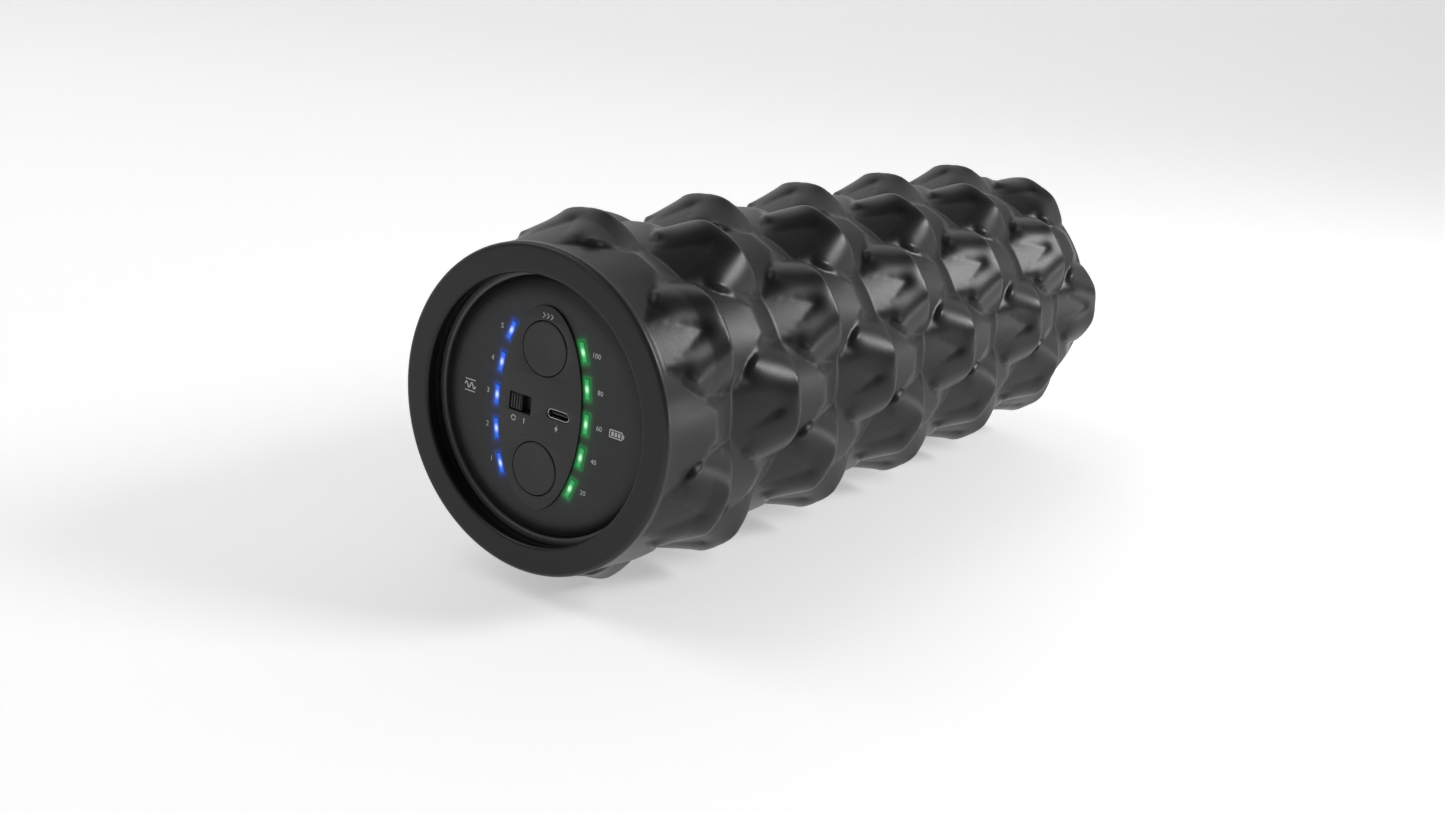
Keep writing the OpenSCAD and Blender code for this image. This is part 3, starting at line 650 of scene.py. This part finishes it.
def blurred(values, sigma):
    """Gaussian blur of the patch, which repeats both ways."""
    rows = np.fft.fftfreq(values.shape[0])[:, None]
    columns = np.fft.fftfreq(values.shape[1])[None, :]
    gauss = np.exp(-2 * np.pi ** 2 * sigma ** 2 * (rows ** 2 + columns ** 2))
    return np.fft.ifft2(np.fft.fft2(values) * gauss).real


def shaped_patch():
    """The patch with smooth faces between its edge lines, crowned domes and softened edges."""
    height, dome = patch_heights()
    weight, pinned = np.zeros(height.shape), np.zeros(height.shape)
    for line in edge_lines():
        for run in copies(line):
            for a, t, h in run:
                column, row = a / PATCH_ANGLE * PATCH_COLUMNS, t * PATCH_ROWS
                i, j = int(round(row)) % PATCH_ROWS, int(round(column)) % PATCH_COLUMNS
                weight[i, j] += 1
                pinned[i, j] += h
    held = weight > 0
    height = np.where(held, pinned / np.maximum(weight, 1), height)
    crown = np.where(dome, CROWN, 0.0)
    for _ in range(RELAXATIONS):
        around = sum(np.roll(height, d, axis) for axis in (0, 1) for d in (1, -1)) / 4
        height = np.where(held, height, around + crown)
    soft = blurred(height, EDGE_BLUR)
    # Painted highlight strength: how far each point stands over the broad blur, so that convex ridges get a
    # paler colour.
    ridge = np.clip((soft - blurred(height, BROAD_BLUR)) / FULL_HIGHLIGHT, 0, 1)
    return soft, ridge


def smooth_step(x):
    """Rises from 0 to 1 as x does, level at both ends."""
    x = np.clip(x, 0, 1)
    return x * x * (3 - 2 * x)


def lowered_last_row(height, along):
    """The row at the rear end keeps its low parts and loses a share of what stands above them."""
    fade = smooth_step((along - (LENGTH / MM - LAST_ROW_START)) / LAST_ROW_FADE)
    share = 1 - LAST_ROW_LOSS * fade
    return np.where(height > LOW_PART, LOW_PART + (height - LOW_PART) * share[:, None], height)


def front_lift(along, columns):
    """Height added next to the panel end, most along the knobs' own lines, so facets start at the ring."""
    off_line = np.abs((np.arange(columns) / columns * 360 + 30) % 60 - 30)
    lift = np.interp(off_line, LIFT_ANGLES, LIFT_HEIGHTS)
    return lift[None, :] * np.clip(1 - (along - LIFT_START) / LIFT_FADE, 0, 1)[:, None]


def sleeve_surface():
    """The knobbed skin as a grid with rows along Y and columns round the axis: each row's distance
    from the panel end, the radius at each point, the columns' angles and the painted highlight's strength
    at each point."""
    patch, ridge = shaped_patch()
    columns = PATCH_COLUMNS * KNOBS_ROUND
    index = np.arange(SKIPPED_ROWS, PATCH_ROWS * ROWS - SKIPPED_ROWS + 1)
    height = np.tile(patch[index % PATCH_ROWS], (1, KNOBS_ROUND))
    # Painted highlight strength of each point, taken from the patch.
    strength = np.tile(ridge[index % PATCH_ROWS], (1, KNOBS_ROUND))
    along = index / PATCH_ROWS * PITCH / MM
    near = np.minimum(along, LENGTH / MM - along)
    front = along < LENGTH / MM / 2
    height = lowered_last_row(height, along) + front_lift(along, columns)
    free, steep = np.where(front, FRONT_FREE, REAR_FREE), np.where(front, FRONT_STEEP, REAR_STEEP)
    ceiling = np.where(near < CEILING_REACH, np.maximum(near - free, 0) * steep, NO_CEILING)
    height = np.minimum(height, ceiling[:, None])
    plain, blend = np.where(front, FRONT_PLAIN, REAR_PLAIN), np.where(front, FRONT_BLEND, REAR_BLEND)
    held = smooth_step((near - plain) / blend)[:, None]
    # Painted highlight: a pale band near each end, on top of the ridges' own.
    highlight = np.exp(-((near - HIGHLIGHT_LINE) / HIGHLIGHT_WIDTH) ** 2)[:, None]
    strength = np.maximum(strength * held, highlight * np.ones_like(strength))
    theta = np.radians(PHASE + np.arange(columns) / columns * 360)
    return along * MM, RING_R + height * held * MM, theta, strength


def end_rings():
    """(radius, distance from the end face) from the lip's back edge, round the mouth, to the skin."""
    rings = [(BORE_R, LIP), (MOUTH_R + 0.2 * MM, LIP), (MOUTH_R, LIP - 0.3 * MM)]
    rings += [(MOUTH_R, LIP * 0.6), (MOUTH_R, MOUTH_FILLET + FACE_MARGIN)]
    rings += [(MOUTH_R + MOUTH_FILLET * (1 - math.cos(a)),
               FACE_MARGIN + MOUTH_FILLET * (1 - math.sin(a)))
              for a in np.radians([18, 36, 54, 72, 90])]
    rings += [(r, FACE_MARGIN) for r in np.linspace(MOUTH_R + 2.2 * MM, RING_R - 2.6 * MM, 4)]
    rings += [(RING_R - SKIN_FILLET * (1 - math.sin(a)),
               FACE_MARGIN + SKIN_FILLET * (1 - math.cos(a)))
              for a in np.radians([0, 15, 30, 45, 60, 75])]
    return rings


def make_sleeve(materials):
    """One closed skin: front end, knobs, rear end and bore."""
    along, radius, theta, strength = sleeve_surface()
    columns = len(theta)
    # Painted highlight: end rings out on the skin's fillet get the full pale colour.
    highlight_r = RING_R - SKIN_FILLET * 0.9
    end = [(np.full(columns, r), y, 1.0 if r > highlight_r else 0.0) for r, y in end_rings()]
    rings = end + [(radius[i], y, strength[i]) for i, y in enumerate(along)]
    rings += [(r, LENGTH - y, highlight) for r, y, highlight in end[::-1]]
    rings += [(np.full(columns, BORE_R), y, 0.0)
              for y in np.linspace(LENGTH - LIP, LIP, BORE_STEPS)[1:-1]]
    across, up = np.cos(theta), np.sin(theta)
    points = np.concatenate([np.stack([r * across, np.full(columns, FRONT_Y + y), r * up], 1)
                             for r, y, _ in rings])
    highlight = np.concatenate([np.ones(columns) * share for _, _, share in rings])
    mesh = mesh_from_arrays("massage_sleeve_skin", points, grid_faces(len(rings), columns, True))
    obj = outward(new_object("massage_sleeve_skin", mesh))
    set_attribute(obj, "ridge", highlight)
    finish_piece(obj, materials["sleeve_foam"],
                 replaces=["massage_sleeve"], angle=None)


# -------------------- ends: bezels, panel, cap

# Radii, and depths below the end face, in millimetres.
BEZEL_OUTER, BEZEL_INNER = 45.15, 42.4
BEZEL_FACE, BEZEL_LEDGE, BEZEL_LEDGE_BACK, BEZEL_BACK = 7.02, 10.4, 12.8, 18
PANEL_R, PANEL_BACK, OPENING_BACK = 42.25, 10.0, 8.0
PANEL_SECTION = [(0, 5.82), (34, 5.82), (35.5, 5.85), (37, 5.98), (38.5, 6.28), (39.8, 6.68),
                 (41, 7.15), (41.8, 7.6), (PANEL_R, 8.05)]
OVAL_GAP = 0.06
PANEL_STEPS, PANEL_RINGS = 240, 56    # points round the face, and rings across it

# The panel's layout, as in the CAD model.
LED_A, LED_B, LED_STEP = 18.4 * MM, 36.9 * MM, 11.2 * MM
LED_W, LED_L = 2.2 * MM, 7.0 * MM
OVAL_A, OVAL_B = 16.6 * MM, 33.7 * MM
BUTTON_Z, BUTTON_R = 19.9 * MM, 8.8 * MM
WINDOW = (-8 * MM, 0.0, 9 * MM, 6 * MM)    # centre x and z, width and height
USB_X, USB_W, USB_H = 7.5 * MM, 8.94 * MM, 3.16 * MM
RIM_SPILL, RIM_REACH = 0.34, 0.7    # strength, and reach in millimetres
HAZE_SPILL, HAZE_REACH = 0.10, 1.3


def bezel_profile(base_y, inwards):
    """Rounded section of the ring in the mouth; inwards is the sign of Y that leads into the roller."""
    outer_round, inner_round = 0.9, 0.8
    outer_edge, inner_edge = BEZEL_FACE + 0.88, BEZEL_FACE + inner_round
    points = [(BEZEL_OUTER, BEZEL_BACK), (BEZEL_OUTER, outer_edge)]
    points += [(BEZEL_OUTER - outer_round * (1 - math.cos(a)), outer_edge - 0.88 * math.sin(a))
               for a in np.radians([30, 60, 90])]
    points += [(BEZEL_INNER + 1.0, BEZEL_FACE)]
    points += [(BEZEL_INNER + inner_round * (1 - math.sin(a)), inner_edge - inner_round * math.cos(a))
               for a in np.radians([20, 45, 70, 90])]
    points += [(BEZEL_INNER, BEZEL_LEDGE), (BEZEL_INNER - 4.8, BEZEL_LEDGE),
               (BEZEL_INNER - 4.8, BEZEL_LEDGE_BACK), (BEZEL_INNER - 1, BEZEL_BACK)]
    return [(radius * MM, base_y + inwards * depth * MM) for radius, depth in points]


def make_bezels(materials):
    for name, base_y, inwards in (("front_bezel", FRONT_Y, 1), ("rear_bezel", REAR_Y, -1)):
        ring = revolve(name + "_ring", bezel_profile(base_y, inwards), 160)
        finish_piece(ring, materials["trim_plastic"], replaces=[name], angle=50)


def led_place(side, i):
    """Centre (x, z) and lean of a light bar; side is -1 for the left ones, i runs 0 to 4 from the top."""
    z = (2 - i) * LED_STEP
    x = LED_A * math.sqrt(1 - (z / LED_B) ** 2)
    lean = math.atan((LED_A / LED_B) ** 2 * z / x)
    return side * x, z, side * lean


def bar_distances(points, side, i):
    """How far each point is from a light bar's centre, along the bar and across it."""
    x, z, lean = led_place(side, i)
    off_x, off_z = points[:, 0] - x, points[:, 2] - z
    along = off_z * math.cos(lean) - off_x * math.sin(lean)
    across = off_z * math.sin(lean) + off_x * math.cos(lean)
    return np.abs(along), np.abs(across)


def glow(points, side):
    """How much of the light bars' spill reaches each point: a tight rim and a wider haze."""
    total = np.zeros(len(points))
    for i in range(5):
        along, across = bar_distances(points, side, i)
        gap = np.hypot(np.maximum(along - LED_L / 2, 0), np.maximum(across - LED_W / 2, 0)) / MM
        total += RIM_SPILL * np.exp(-(gap / RIM_REACH) ** 2) + HAZE_SPILL * np.exp(-gap / HAZE_REACH)
    return np.clip(total, 0, 1.2)


def add_glow(obj):
    """Both colours' spill, for the panel's material."""
    points = coordinates(obj)
    set_attribute(obj, "glow_blue", glow(points, -1))
    set_attribute(obj, "glow_green", glow(points, 1))


def panel_ring(semi_x, semi_z, depth=None):
    """An oval ring of panel points at a depth, or on the dished face where none is given."""
    ring = []
    for x, z in oval_points(0, 0, semi_x, semi_z, PANEL_STEPS):
        face = np.interp(math.hypot(x, z), *zip(*PANEL_SECTION))
        ring.append((x * MM, FRONT_Y + (depth or face) * MM, z * MM))
    return ring


def make_panel(materials):
    """Dished disc with an oval opening, which the inlay fills."""
    opening_x, opening_z = OVAL_A / MM + OVAL_GAP, OVAL_B / MM + OVAL_GAP
    points = []
    for share in np.linspace(0, 1, PANEL_RINGS):
        points += panel_ring(opening_x * (1 - share) + PANEL_R * share,
                             opening_z * (1 - share) + PANEL_R * share)
    points += panel_ring(PANEL_R, PANEL_R, PANEL_BACK)
    points += panel_ring(opening_x, opening_z, OPENING_BACK)
    faces = grid_faces(PANEL_RINGS + 2, PANEL_STEPS, True)
    mesh = mesh_from_arrays("control_panel_face", points, faces)
    obj = outward(new_object("control_panel_face", mesh))
    add_glow(obj)
    finish_piece(obj, materials["panel_plastic"],
                 replaces=["control_panel"], angle=40)


def make_inlay(materials):
    """Oval plate, a little proud, with openings for the buttons, the switch and the port."""
    hole_r = BUTTON_R + 0.22 * MM
    outlines = [oval_points(0, 0, OVAL_A, OVAL_B, 160)]
    outlines += [oval_points(0, side * BUTTON_Z, hole_r, hole_r, 96) for side in (1, -1)]
    outlines.append(rounded_rect(*WINDOW, 0.35 * MM))
    outlines.append(stadium_points(USB_X, 0, USB_W + 0.2 * MM, USB_H + 0.2 * MM))
    front = plate("panel_inlay_plate", outlines, FRONT_Y + 5.0 * MM, FRONT_Y + 6.3 * MM, 0.16 * MM)
    finish_piece(front, materials["inlay_plastic"],
                 replaces=["panel_inlay"], angle=30)
    # A near-black sheet behind the inlay, so that the walls of its openings and its edge gap read dark:
    # painted shade.
    back = plate("panel_backing", outlines, FRONT_Y + 6.32 * MM, FRONT_Y + 8.0 * MM, 0.05 * MM)
    finish_piece(back, materials["painted_gap_shade"])


def make_buttons(materials):
    """Slightly domed caps, each with a flange and a stem behind the inlay."""
    face, dome, edge = FRONT_Y + 4.8 * MM, 0.28 * MM, 0.45 * MM
    profile = [(0, face + dome)]
    profile += [(BUTTON_R * t, face + dome * (1 - t ** 2) ** 2) for t in (0.2, 0.4, 0.55, 0.7, 0.82, 0.9)]
    profile += arc_points(BUTTON_R - edge, face + edge, edge, -90, 0, 6)
    flange_r, stem_r = BUTTON_R + 1.05 * MM, 1.6 * MM
    behind = [(BUTTON_R, 3.6), (flange_r, 3.62), (flange_r, 4.38), (stem_r, 4.4), (stem_r, 5.8), (0, 5.8)]
    profile += [(radius, face + depth * MM) for radius, depth in behind]
    for name, body, side in (("mode_button", "mode_key", 1), ("power_button", "power_key", -1)):
        cap = revolve(name + "_cap", profile, 96, (0, side * BUTTON_Z), closed=False)
        finish_piece(cap, materials["button_plastic"], body, [name], angle=50)


def make_switch(materials):
    """Knob with four ribs at the left of its window, on a slide plate with a stem."""
    left = WINDOW[0] - WINDOW[2] / 2 + 0.2 * MM
    width, half = 4.6 * MM, 2.75 * MM
    face, floor = FRONT_Y + 5.2 * MM, FRONT_Y + 8.4 * MM
    middle = left + width / 2
    parts = [block("grip", (left, face + 0.4 * MM, -half), (left + width, floor, half), 0.2 * MM)]
    for i in range(4):
        rib = left + (0.3 + i * 1.1) * MM
        parts.append(block("rib", (rib, face + 0.02 * MM, -half + 0.3 * MM),
                           (rib + 0.7 * MM, face + 0.7 * MM, half - 0.3 * MM), 0.16 * MM, 2))
    parts.append(block("slide_plate", (left - 3 * MM, floor, -4 * MM),
                       (left + width + 2.5 * MM, floor + 0.8 * MM, 4 * MM), 0.1 * MM))
    parts.append(block("stem", (middle - 0.9 * MM, floor + 0.75 * MM, -0.9 * MM),
                       (middle + 0.9 * MM, floor + 4.75 * MM, 0.9 * MM), 0.1 * MM))
    knob = join(parts, "slide_knob_grip")
    finish_piece(knob, materials["button_plastic"], "speed_slider", ["slide_knob"])


def make_usb(materials):
    """Steel shell with rolled lip and the tongue inside it."""
    outer = stadium_points(USB_X, 0, USB_W, USB_H)
    inner = stadium_points(USB_X, 0, USB_W - 0.62 * MM, USB_H - 0.62 * MM)
    shell = plate("usb_port_shell", [outer, inner], FRONT_Y + 5.42 * MM, FRONT_Y + 15.5 * MM, 0.1 * MM)
    finish_piece(shell, materials["zinc_steel"], replaces=["usb_shell"], angle=40)
    tongue = block("usb_port_tongue", (USB_X - 3.35 * MM, FRONT_Y + 6.4 * MM, -0.35 * MM),
                   (USB_X + 3.35 * MM, FRONT_Y + 14.5 * MM, 0.35 * MM), 0.12 * MM)
    finish_piece(tongue, materials["part_plastic"], replaces=["usb_tongue"])


def make_lens(materials, side, i):
    """Rounded light bar; hot_spot is highest over its chip, and inside is 1 away from its border."""
    x, z, lean = led_place(side, i)
    colour = "blue" if side < 0 else "green"
    node = f"led_lens_{colour}_{i + 1}"
    bm = bmesh.new()
    bmesh.ops.create_cube(bm, size=1)
    bmesh.ops.subdivide_edges(bm, edges=bm.edges[:], cuts=9, use_grid_fill=True)
    low, high = FRONT_Y + 5.66 * MM, FRONT_Y + 13.6 * MM
    for vertex in bm.verts:
        u, v = vertex.co.x * LED_W, vertex.co.z * LED_L
        y = low + (vertex.co.y + 0.5) * (high - low)
        vertex.co = (x + u * math.cos(lean) - v * math.sin(lean), y,
                     z + u * math.sin(lean) + v * math.cos(lean))
    sharp = [e for e in bm.edges if len(e.link_faces) == 2 and e.calc_face_angle(0) > 1.0]
    bmesh.ops.bevel(bm, geom=sharp, offset=0.14 * MM, segments=2, profile=0.5, affect="EDGES")
    mesh = bpy.data.meshes.new(node + "_bar")
    bm.to_mesh(mesh)
    bm.free()
    obj = new_object(node + "_bar", mesh)
    along, across = bar_distances(coordinates(obj), side, i)
    spot = np.exp(-((along / MM / 0.95) ** 2 + (across / MM / 0.6) ** 2))
    set_attribute(obj, "hot_spot", spot)
    border = np.minimum(LED_W / 2 - across, LED_L / 2 - along) / MM
    set_attribute(obj, "inside", smooth_step((border - 0.05) / 0.5))
    finish_piece(obj, materials[colour + "_lens"], replaces=[node])


# -------------------- printed marks

PRINT_DEPTH = 0.03 * MM
PANEL_PRINT_Y, INLAY_PRINT_Y = FRONT_Y + 5.80 * MM, FRONT_Y + 4.99 * MM
BUTTON_PRINT_Y = FRONT_Y + 5.07 * MM
ARROW_Z, SWITCH_MARK_Z, BOLT_Z = 30.5 * MM, -5.4 * MM, -4.4 * MM
BATTERY_X = 30.2 * MM
WAVE_LEFT, WAVE_W = -32.5 * MM, 4.6 * MM
BOLT = [(0.35, 1.3), (-0.8, -0.2), (-0.1, -0.2), (-0.35, -1.3), (0.8, 0.2), (0.1, 0.2)]


def printed(outlines, y_back):
    """A printed mark with its back at y_back, from outlines of (x, z) points."""
    return plate("mark", outlines, y_back - PRINT_DEPTH, y_back, 0.004 * MM)


def number_mark(text, x, z, size):
    """A number on the panel in Blender's own font."""
    curve = bpy.data.curves.new("mark", "FONT")
    curve.body = text
    curve.size = size
    curve.align_x, curve.align_y = "CENTER", "CENTER"
    curve.extrude = PRINT_DEPTH / 2
    curve.resolution_u = 3
    mesh = curve_to_mesh(curve)
    mesh.transform(facing_front(x, PANEL_PRINT_Y - PRINT_DEPTH / 2, z))
    obj = new_object("mark", mesh)
    merge(obj, 0.001 * MM)
    return obj


def stroke(points, width, y_back):
    """A printed line through (x, z) points."""
    left, right = [], []
    for i, (x, z) in enumerate(points):
        x0, z0 = points[max(i - 1, 0)]
        x1, z1 = points[min(i + 1, len(points) - 1)]
        length = math.hypot(x1 - x0, z1 - z0)
        nx, nz = -(z1 - z0) / length * width / 2, (x1 - x0) / length * width / 2
        left.append((x + nx, z + nz))
        right.append((x - nx, z - nz))
    return printed([left + right[::-1]], y_back)


def number_marks():
    """1 to 5 beside the left light bars, and 20 to 100 beside the right ones, counted upwards."""
    marks = []
    for i in range(5):
        x, z, _ = led_place(-1, i)
        marks.append(number_mark(str(5 - i), x - 4.0 * MM, z + 0.4 * MM, 2.5 * MM))
        x, z, _ = led_place(1, i)
        marks.append(number_mark(str(100 - 20 * i), x + 5.2 * MM, z, 2.3 * MM))
    return marks


def wave_mark():
    """A wave between two lines, for the vibration."""
    wave = [(WAVE_LEFT + t * WAVE_W, 0.9 * MM * math.sin(t * 4 * math.pi)) for t in np.linspace(0, 1, 33)]
    marks = [stroke(wave, 0.45 * MM, PANEL_PRINT_Y)]
    for z in (-1.9 * MM, 1.9 * MM):
        line = [(WAVE_LEFT + 0.1 * MM, z), (WAVE_LEFT + 4.5 * MM, z)]
        marks.append(stroke(line, 0.35 * MM, PANEL_PRINT_Y))
    return marks


def battery_mark():
    """A case, its end contact and three cells."""
    case = [rounded_rect(BATTERY_X, 0, 5.2 * MM, 2.7 * MM, 0.4 * MM),
            rounded_rect(BATTERY_X, 0, 4.5 * MM, 2.0 * MM, 0.25 * MM)]
    contact = rounded_rect(BATTERY_X + 2.95 * MM, 0, 0.5 * MM, 1.3 * MM, 0.15 * MM)
    cells = [rounded_rect(BATTERY_X + offset * MM, 0, 0.9 * MM, 1.4 * MM, 0.1 * MM)
             for offset in (-1.3, 0, 1.3)]
    return [printed(outlines, PANEL_PRINT_Y) for outlines in (case, [contact], *([cell] for cell in cells))]


def inlay_marks():
    """Three arrows over the upper button, off and on under the switch, a bolt under the port."""
    marks = []
    for x in (-1.8 * MM, -0.2 * MM, 1.4 * MM):
        arrow = [(x, ARROW_Z - 0.8 * MM), (x + 0.9 * MM, ARROW_Z), (x, ARROW_Z + 0.8 * MM)]
        marks.append(stroke(arrow, 0.32 * MM, INLAY_PRINT_Y))
    ring = arc_points(-10.2 * MM, SWITCH_MARK_Z, 0.85 * MM, 0, 345, 16)
    line = [(-5.8 * MM, SWITCH_MARK_Z - 0.9 * MM), (-5.8 * MM, SWITCH_MARK_Z + 0.9 * MM)]
    marks.append(stroke(ring, 0.3 * MM, INLAY_PRINT_Y))
    marks.append(stroke(line, 0.35 * MM, INLAY_PRINT_Y))
    marks.append(printed([[(USB_X + x * MM, BOLT_Z + z * MM) for x, z in BOLT]], INLAY_PRINT_Y))
    return marks


def make_marks(materials):
    """Plain numbers and simple icons, all generic."""
    marks = number_marks() + wave_mark() + battery_mark() + inlay_marks()
    finish_piece(join(marks, "panel_print"), materials["print_white"], smooth=False)
    ring = arc_points(0, -BUTTON_Z, 2.5 * MM, 120, 420, 28)
    line = [(0, -BUTTON_Z + 0.8 * MM), (0, -BUTTON_Z + 3.2 * MM)]
    symbol = join([stroke(points, 0.4 * MM, BUTTON_PRINT_Y) for points in (ring, line)], "power_symbol")
    finish_piece(symbol, materials["print_dim"], "power_key", smooth=False)


# -------------------- rear cap

# The cap's section as (radius, depth below the end face) in millimetres: a flat middle, a groove, a rim
# that falls away, and the back. The screws stand on a circle near the rim.
CAP_FRONT = [(0, 6.62), (12, 6.62), (22, 6.62), (23.6, 6.66), (24.3, 6.85), (24.7, 7.15), (25.2, 7.35),
             (26, 7.42), (29, 7.42), (32, 7.42), (32.8, 7.36), (33.4, 7.15), (33.9, 6.88), (34.6, 6.68),
             (35.6, 6.62), (37.5, 6.68), (39, 6.84), (40.4, 7.14), (41.6, 7.6), (PANEL_R, 8.05)]
CAP_BACK = [(PANEL_R, 10.0), (37, 10.0), (35, 9.2), (0, 9.2)]
SCREW_CIRCLE, SCREW_ANGLES = 40 * MM, [45, 135, 225, 315]
SCREW_HEAD_R, SCREW_SOCKET, SCREW_SHANK_R = 2.25 * MM, 1.15 * MM, 1.1 * MM
SCREW_TOP, SCREW_SEAT, SCREW_END = 7.02, 8.4, 12.8
COUNTERBORE, BORE = (2.42, 5.0, 8.42), (1.4, 8.0, 12.0)    # radius, then depths from and to


def rear_y(depth):
    """Y at a depth in millimetres below the rear end face."""
    return REAR_Y - depth * MM


def rod(name, radius, start, end, steps, centre):
    """Round rod along Y between two depths below the rear end face."""
    profile = [(0, rear_y(start)), (radius, rear_y(start)), (radius, rear_y(end)), (0, rear_y(end))]
    return revolve(name, profile, steps, centre, closed=False)


def make_rear_cap(materials):
    """Cap with four sunk screws."""
    profile = [(radius * MM, rear_y(depth)) for radius, depth in CAP_FRONT + CAP_BACK]
    cap = revolve("rear_cap_face", profile, 192, closed=False)
    places = [(SCREW_CIRCLE * math.cos(a), SCREW_CIRCLE * math.sin(a)) for a in np.radians(SCREW_ANGLES)]
    for place in places:
        for radius, start, end in (COUNTERBORE, BORE):
            cut(cap, rod("bore", radius * MM, start, end, 48, place))
    finish_piece(cap, materials["panel_plastic"], replaces=["rear_cap"], angle=45)
    no_glow(cap)
    screws = []
    for place in places:
        screws.append(screw_head(place, rear_y(SCREW_TOP), rear_y(SCREW_SEAT)))
        screws.append(rod("shank", SCREW_SHANK_R, SCREW_SEAT - 0.1, SCREW_END, 24, place))
    finish_piece(join(screws, "rear_cap_screw_heads"), materials["zinc_steel"],
                 replaces=["rear_cap_screws"], angle=30)


def screw_head(centre, y_top, y_base):
    """Pan head with a hexagon socket, facing +Y."""
    steps = 48
    turns = [2 * math.pi * k / steps for k in range(steps)]
    r = SCREW_HEAD_R
    rings = [(r, y_base), (r, y_top - 0.35 * MM), (r - 0.12 * MM, y_top - 0.12 * MM), (r - 0.4 * MM, y_top)]
    sections = [([radius] * steps, y) for radius, y in rings]
    inner = SCREW_SOCKET - 0.08 * MM
    for size, depth in ((SCREW_SOCKET, 0.0), (inner, 0.08), (inner, 0.7)):
        hexagon = [size / math.cos(turn % (math.pi / 3) - math.pi / 6) for turn in turns]
        sections.append((hexagon, y_top - depth * MM))
    bm = bmesh.new()
    loops = [[bm.verts.new((centre[0] + radius * math.cos(turn), y, centre[1] + radius * math.sin(turn)))
              for radius, turn in zip(radii, turns)] for radii, y in sections]
    for a, b in zip(loops, loops[1:]):
        for k in range(steps):
            bm.faces.new((a[k], a[(k + 1) % steps], b[(k + 1) % steps], b[k]))
    bm.faces.new(loops[-1])
    bm.faces.new(loops[0][::-1])
    bmesh.ops.recalc_face_normals(bm, faces=bm.faces)
    mesh = bpy.data.meshes.new("screw")
    bm.to_mesh(mesh)
    bm.free()
    return new_object("screw", mesh)


# -------------------- everything the CAD model keeps

def no_glow(obj):
    """A piece of panel_plastic out of the light bars' reach."""
    for name in ("glow_blue", "glow_green"):
        set_attribute(obj, name, np.zeros(len(obj.data.vertices)))


def dress_cad_nodes(materials):
    """Materials for the parts inside, which keep the CAD model's own meshes."""
    slots = {part["node"]: part["material_slot"] for part in frame["record"]["subparts"]}
    for name, obj in frame["nodes"].items():
        if obj.hide_render:
            continue
        obj.data.materials.clear()
        obj.data.materials.append(materials[slots[name]])
        if slots[name] == "panel_plastic":
            no_glow(obj)
        obj.data.shade_smooth()
        obj.data.set_sharp_from_angle(angle=math.radians(30))


def main():
    make_camera()
    make_world()
    make_lights()
    make_stage()
    materials = make_materials()
    make_sleeve(materials)
    make_bezels(materials)
    make_panel(materials)
    make_inlay(materials)
    make_buttons(materials)
    make_switch(materials)
    make_usb(materials)
    for side in (-1, 1):
        for i in range(5):
            make_lens(materials, side, i)
    make_marks(materials)
    make_rear_cap(materials)
    dress_cad_nodes(materials)


main()
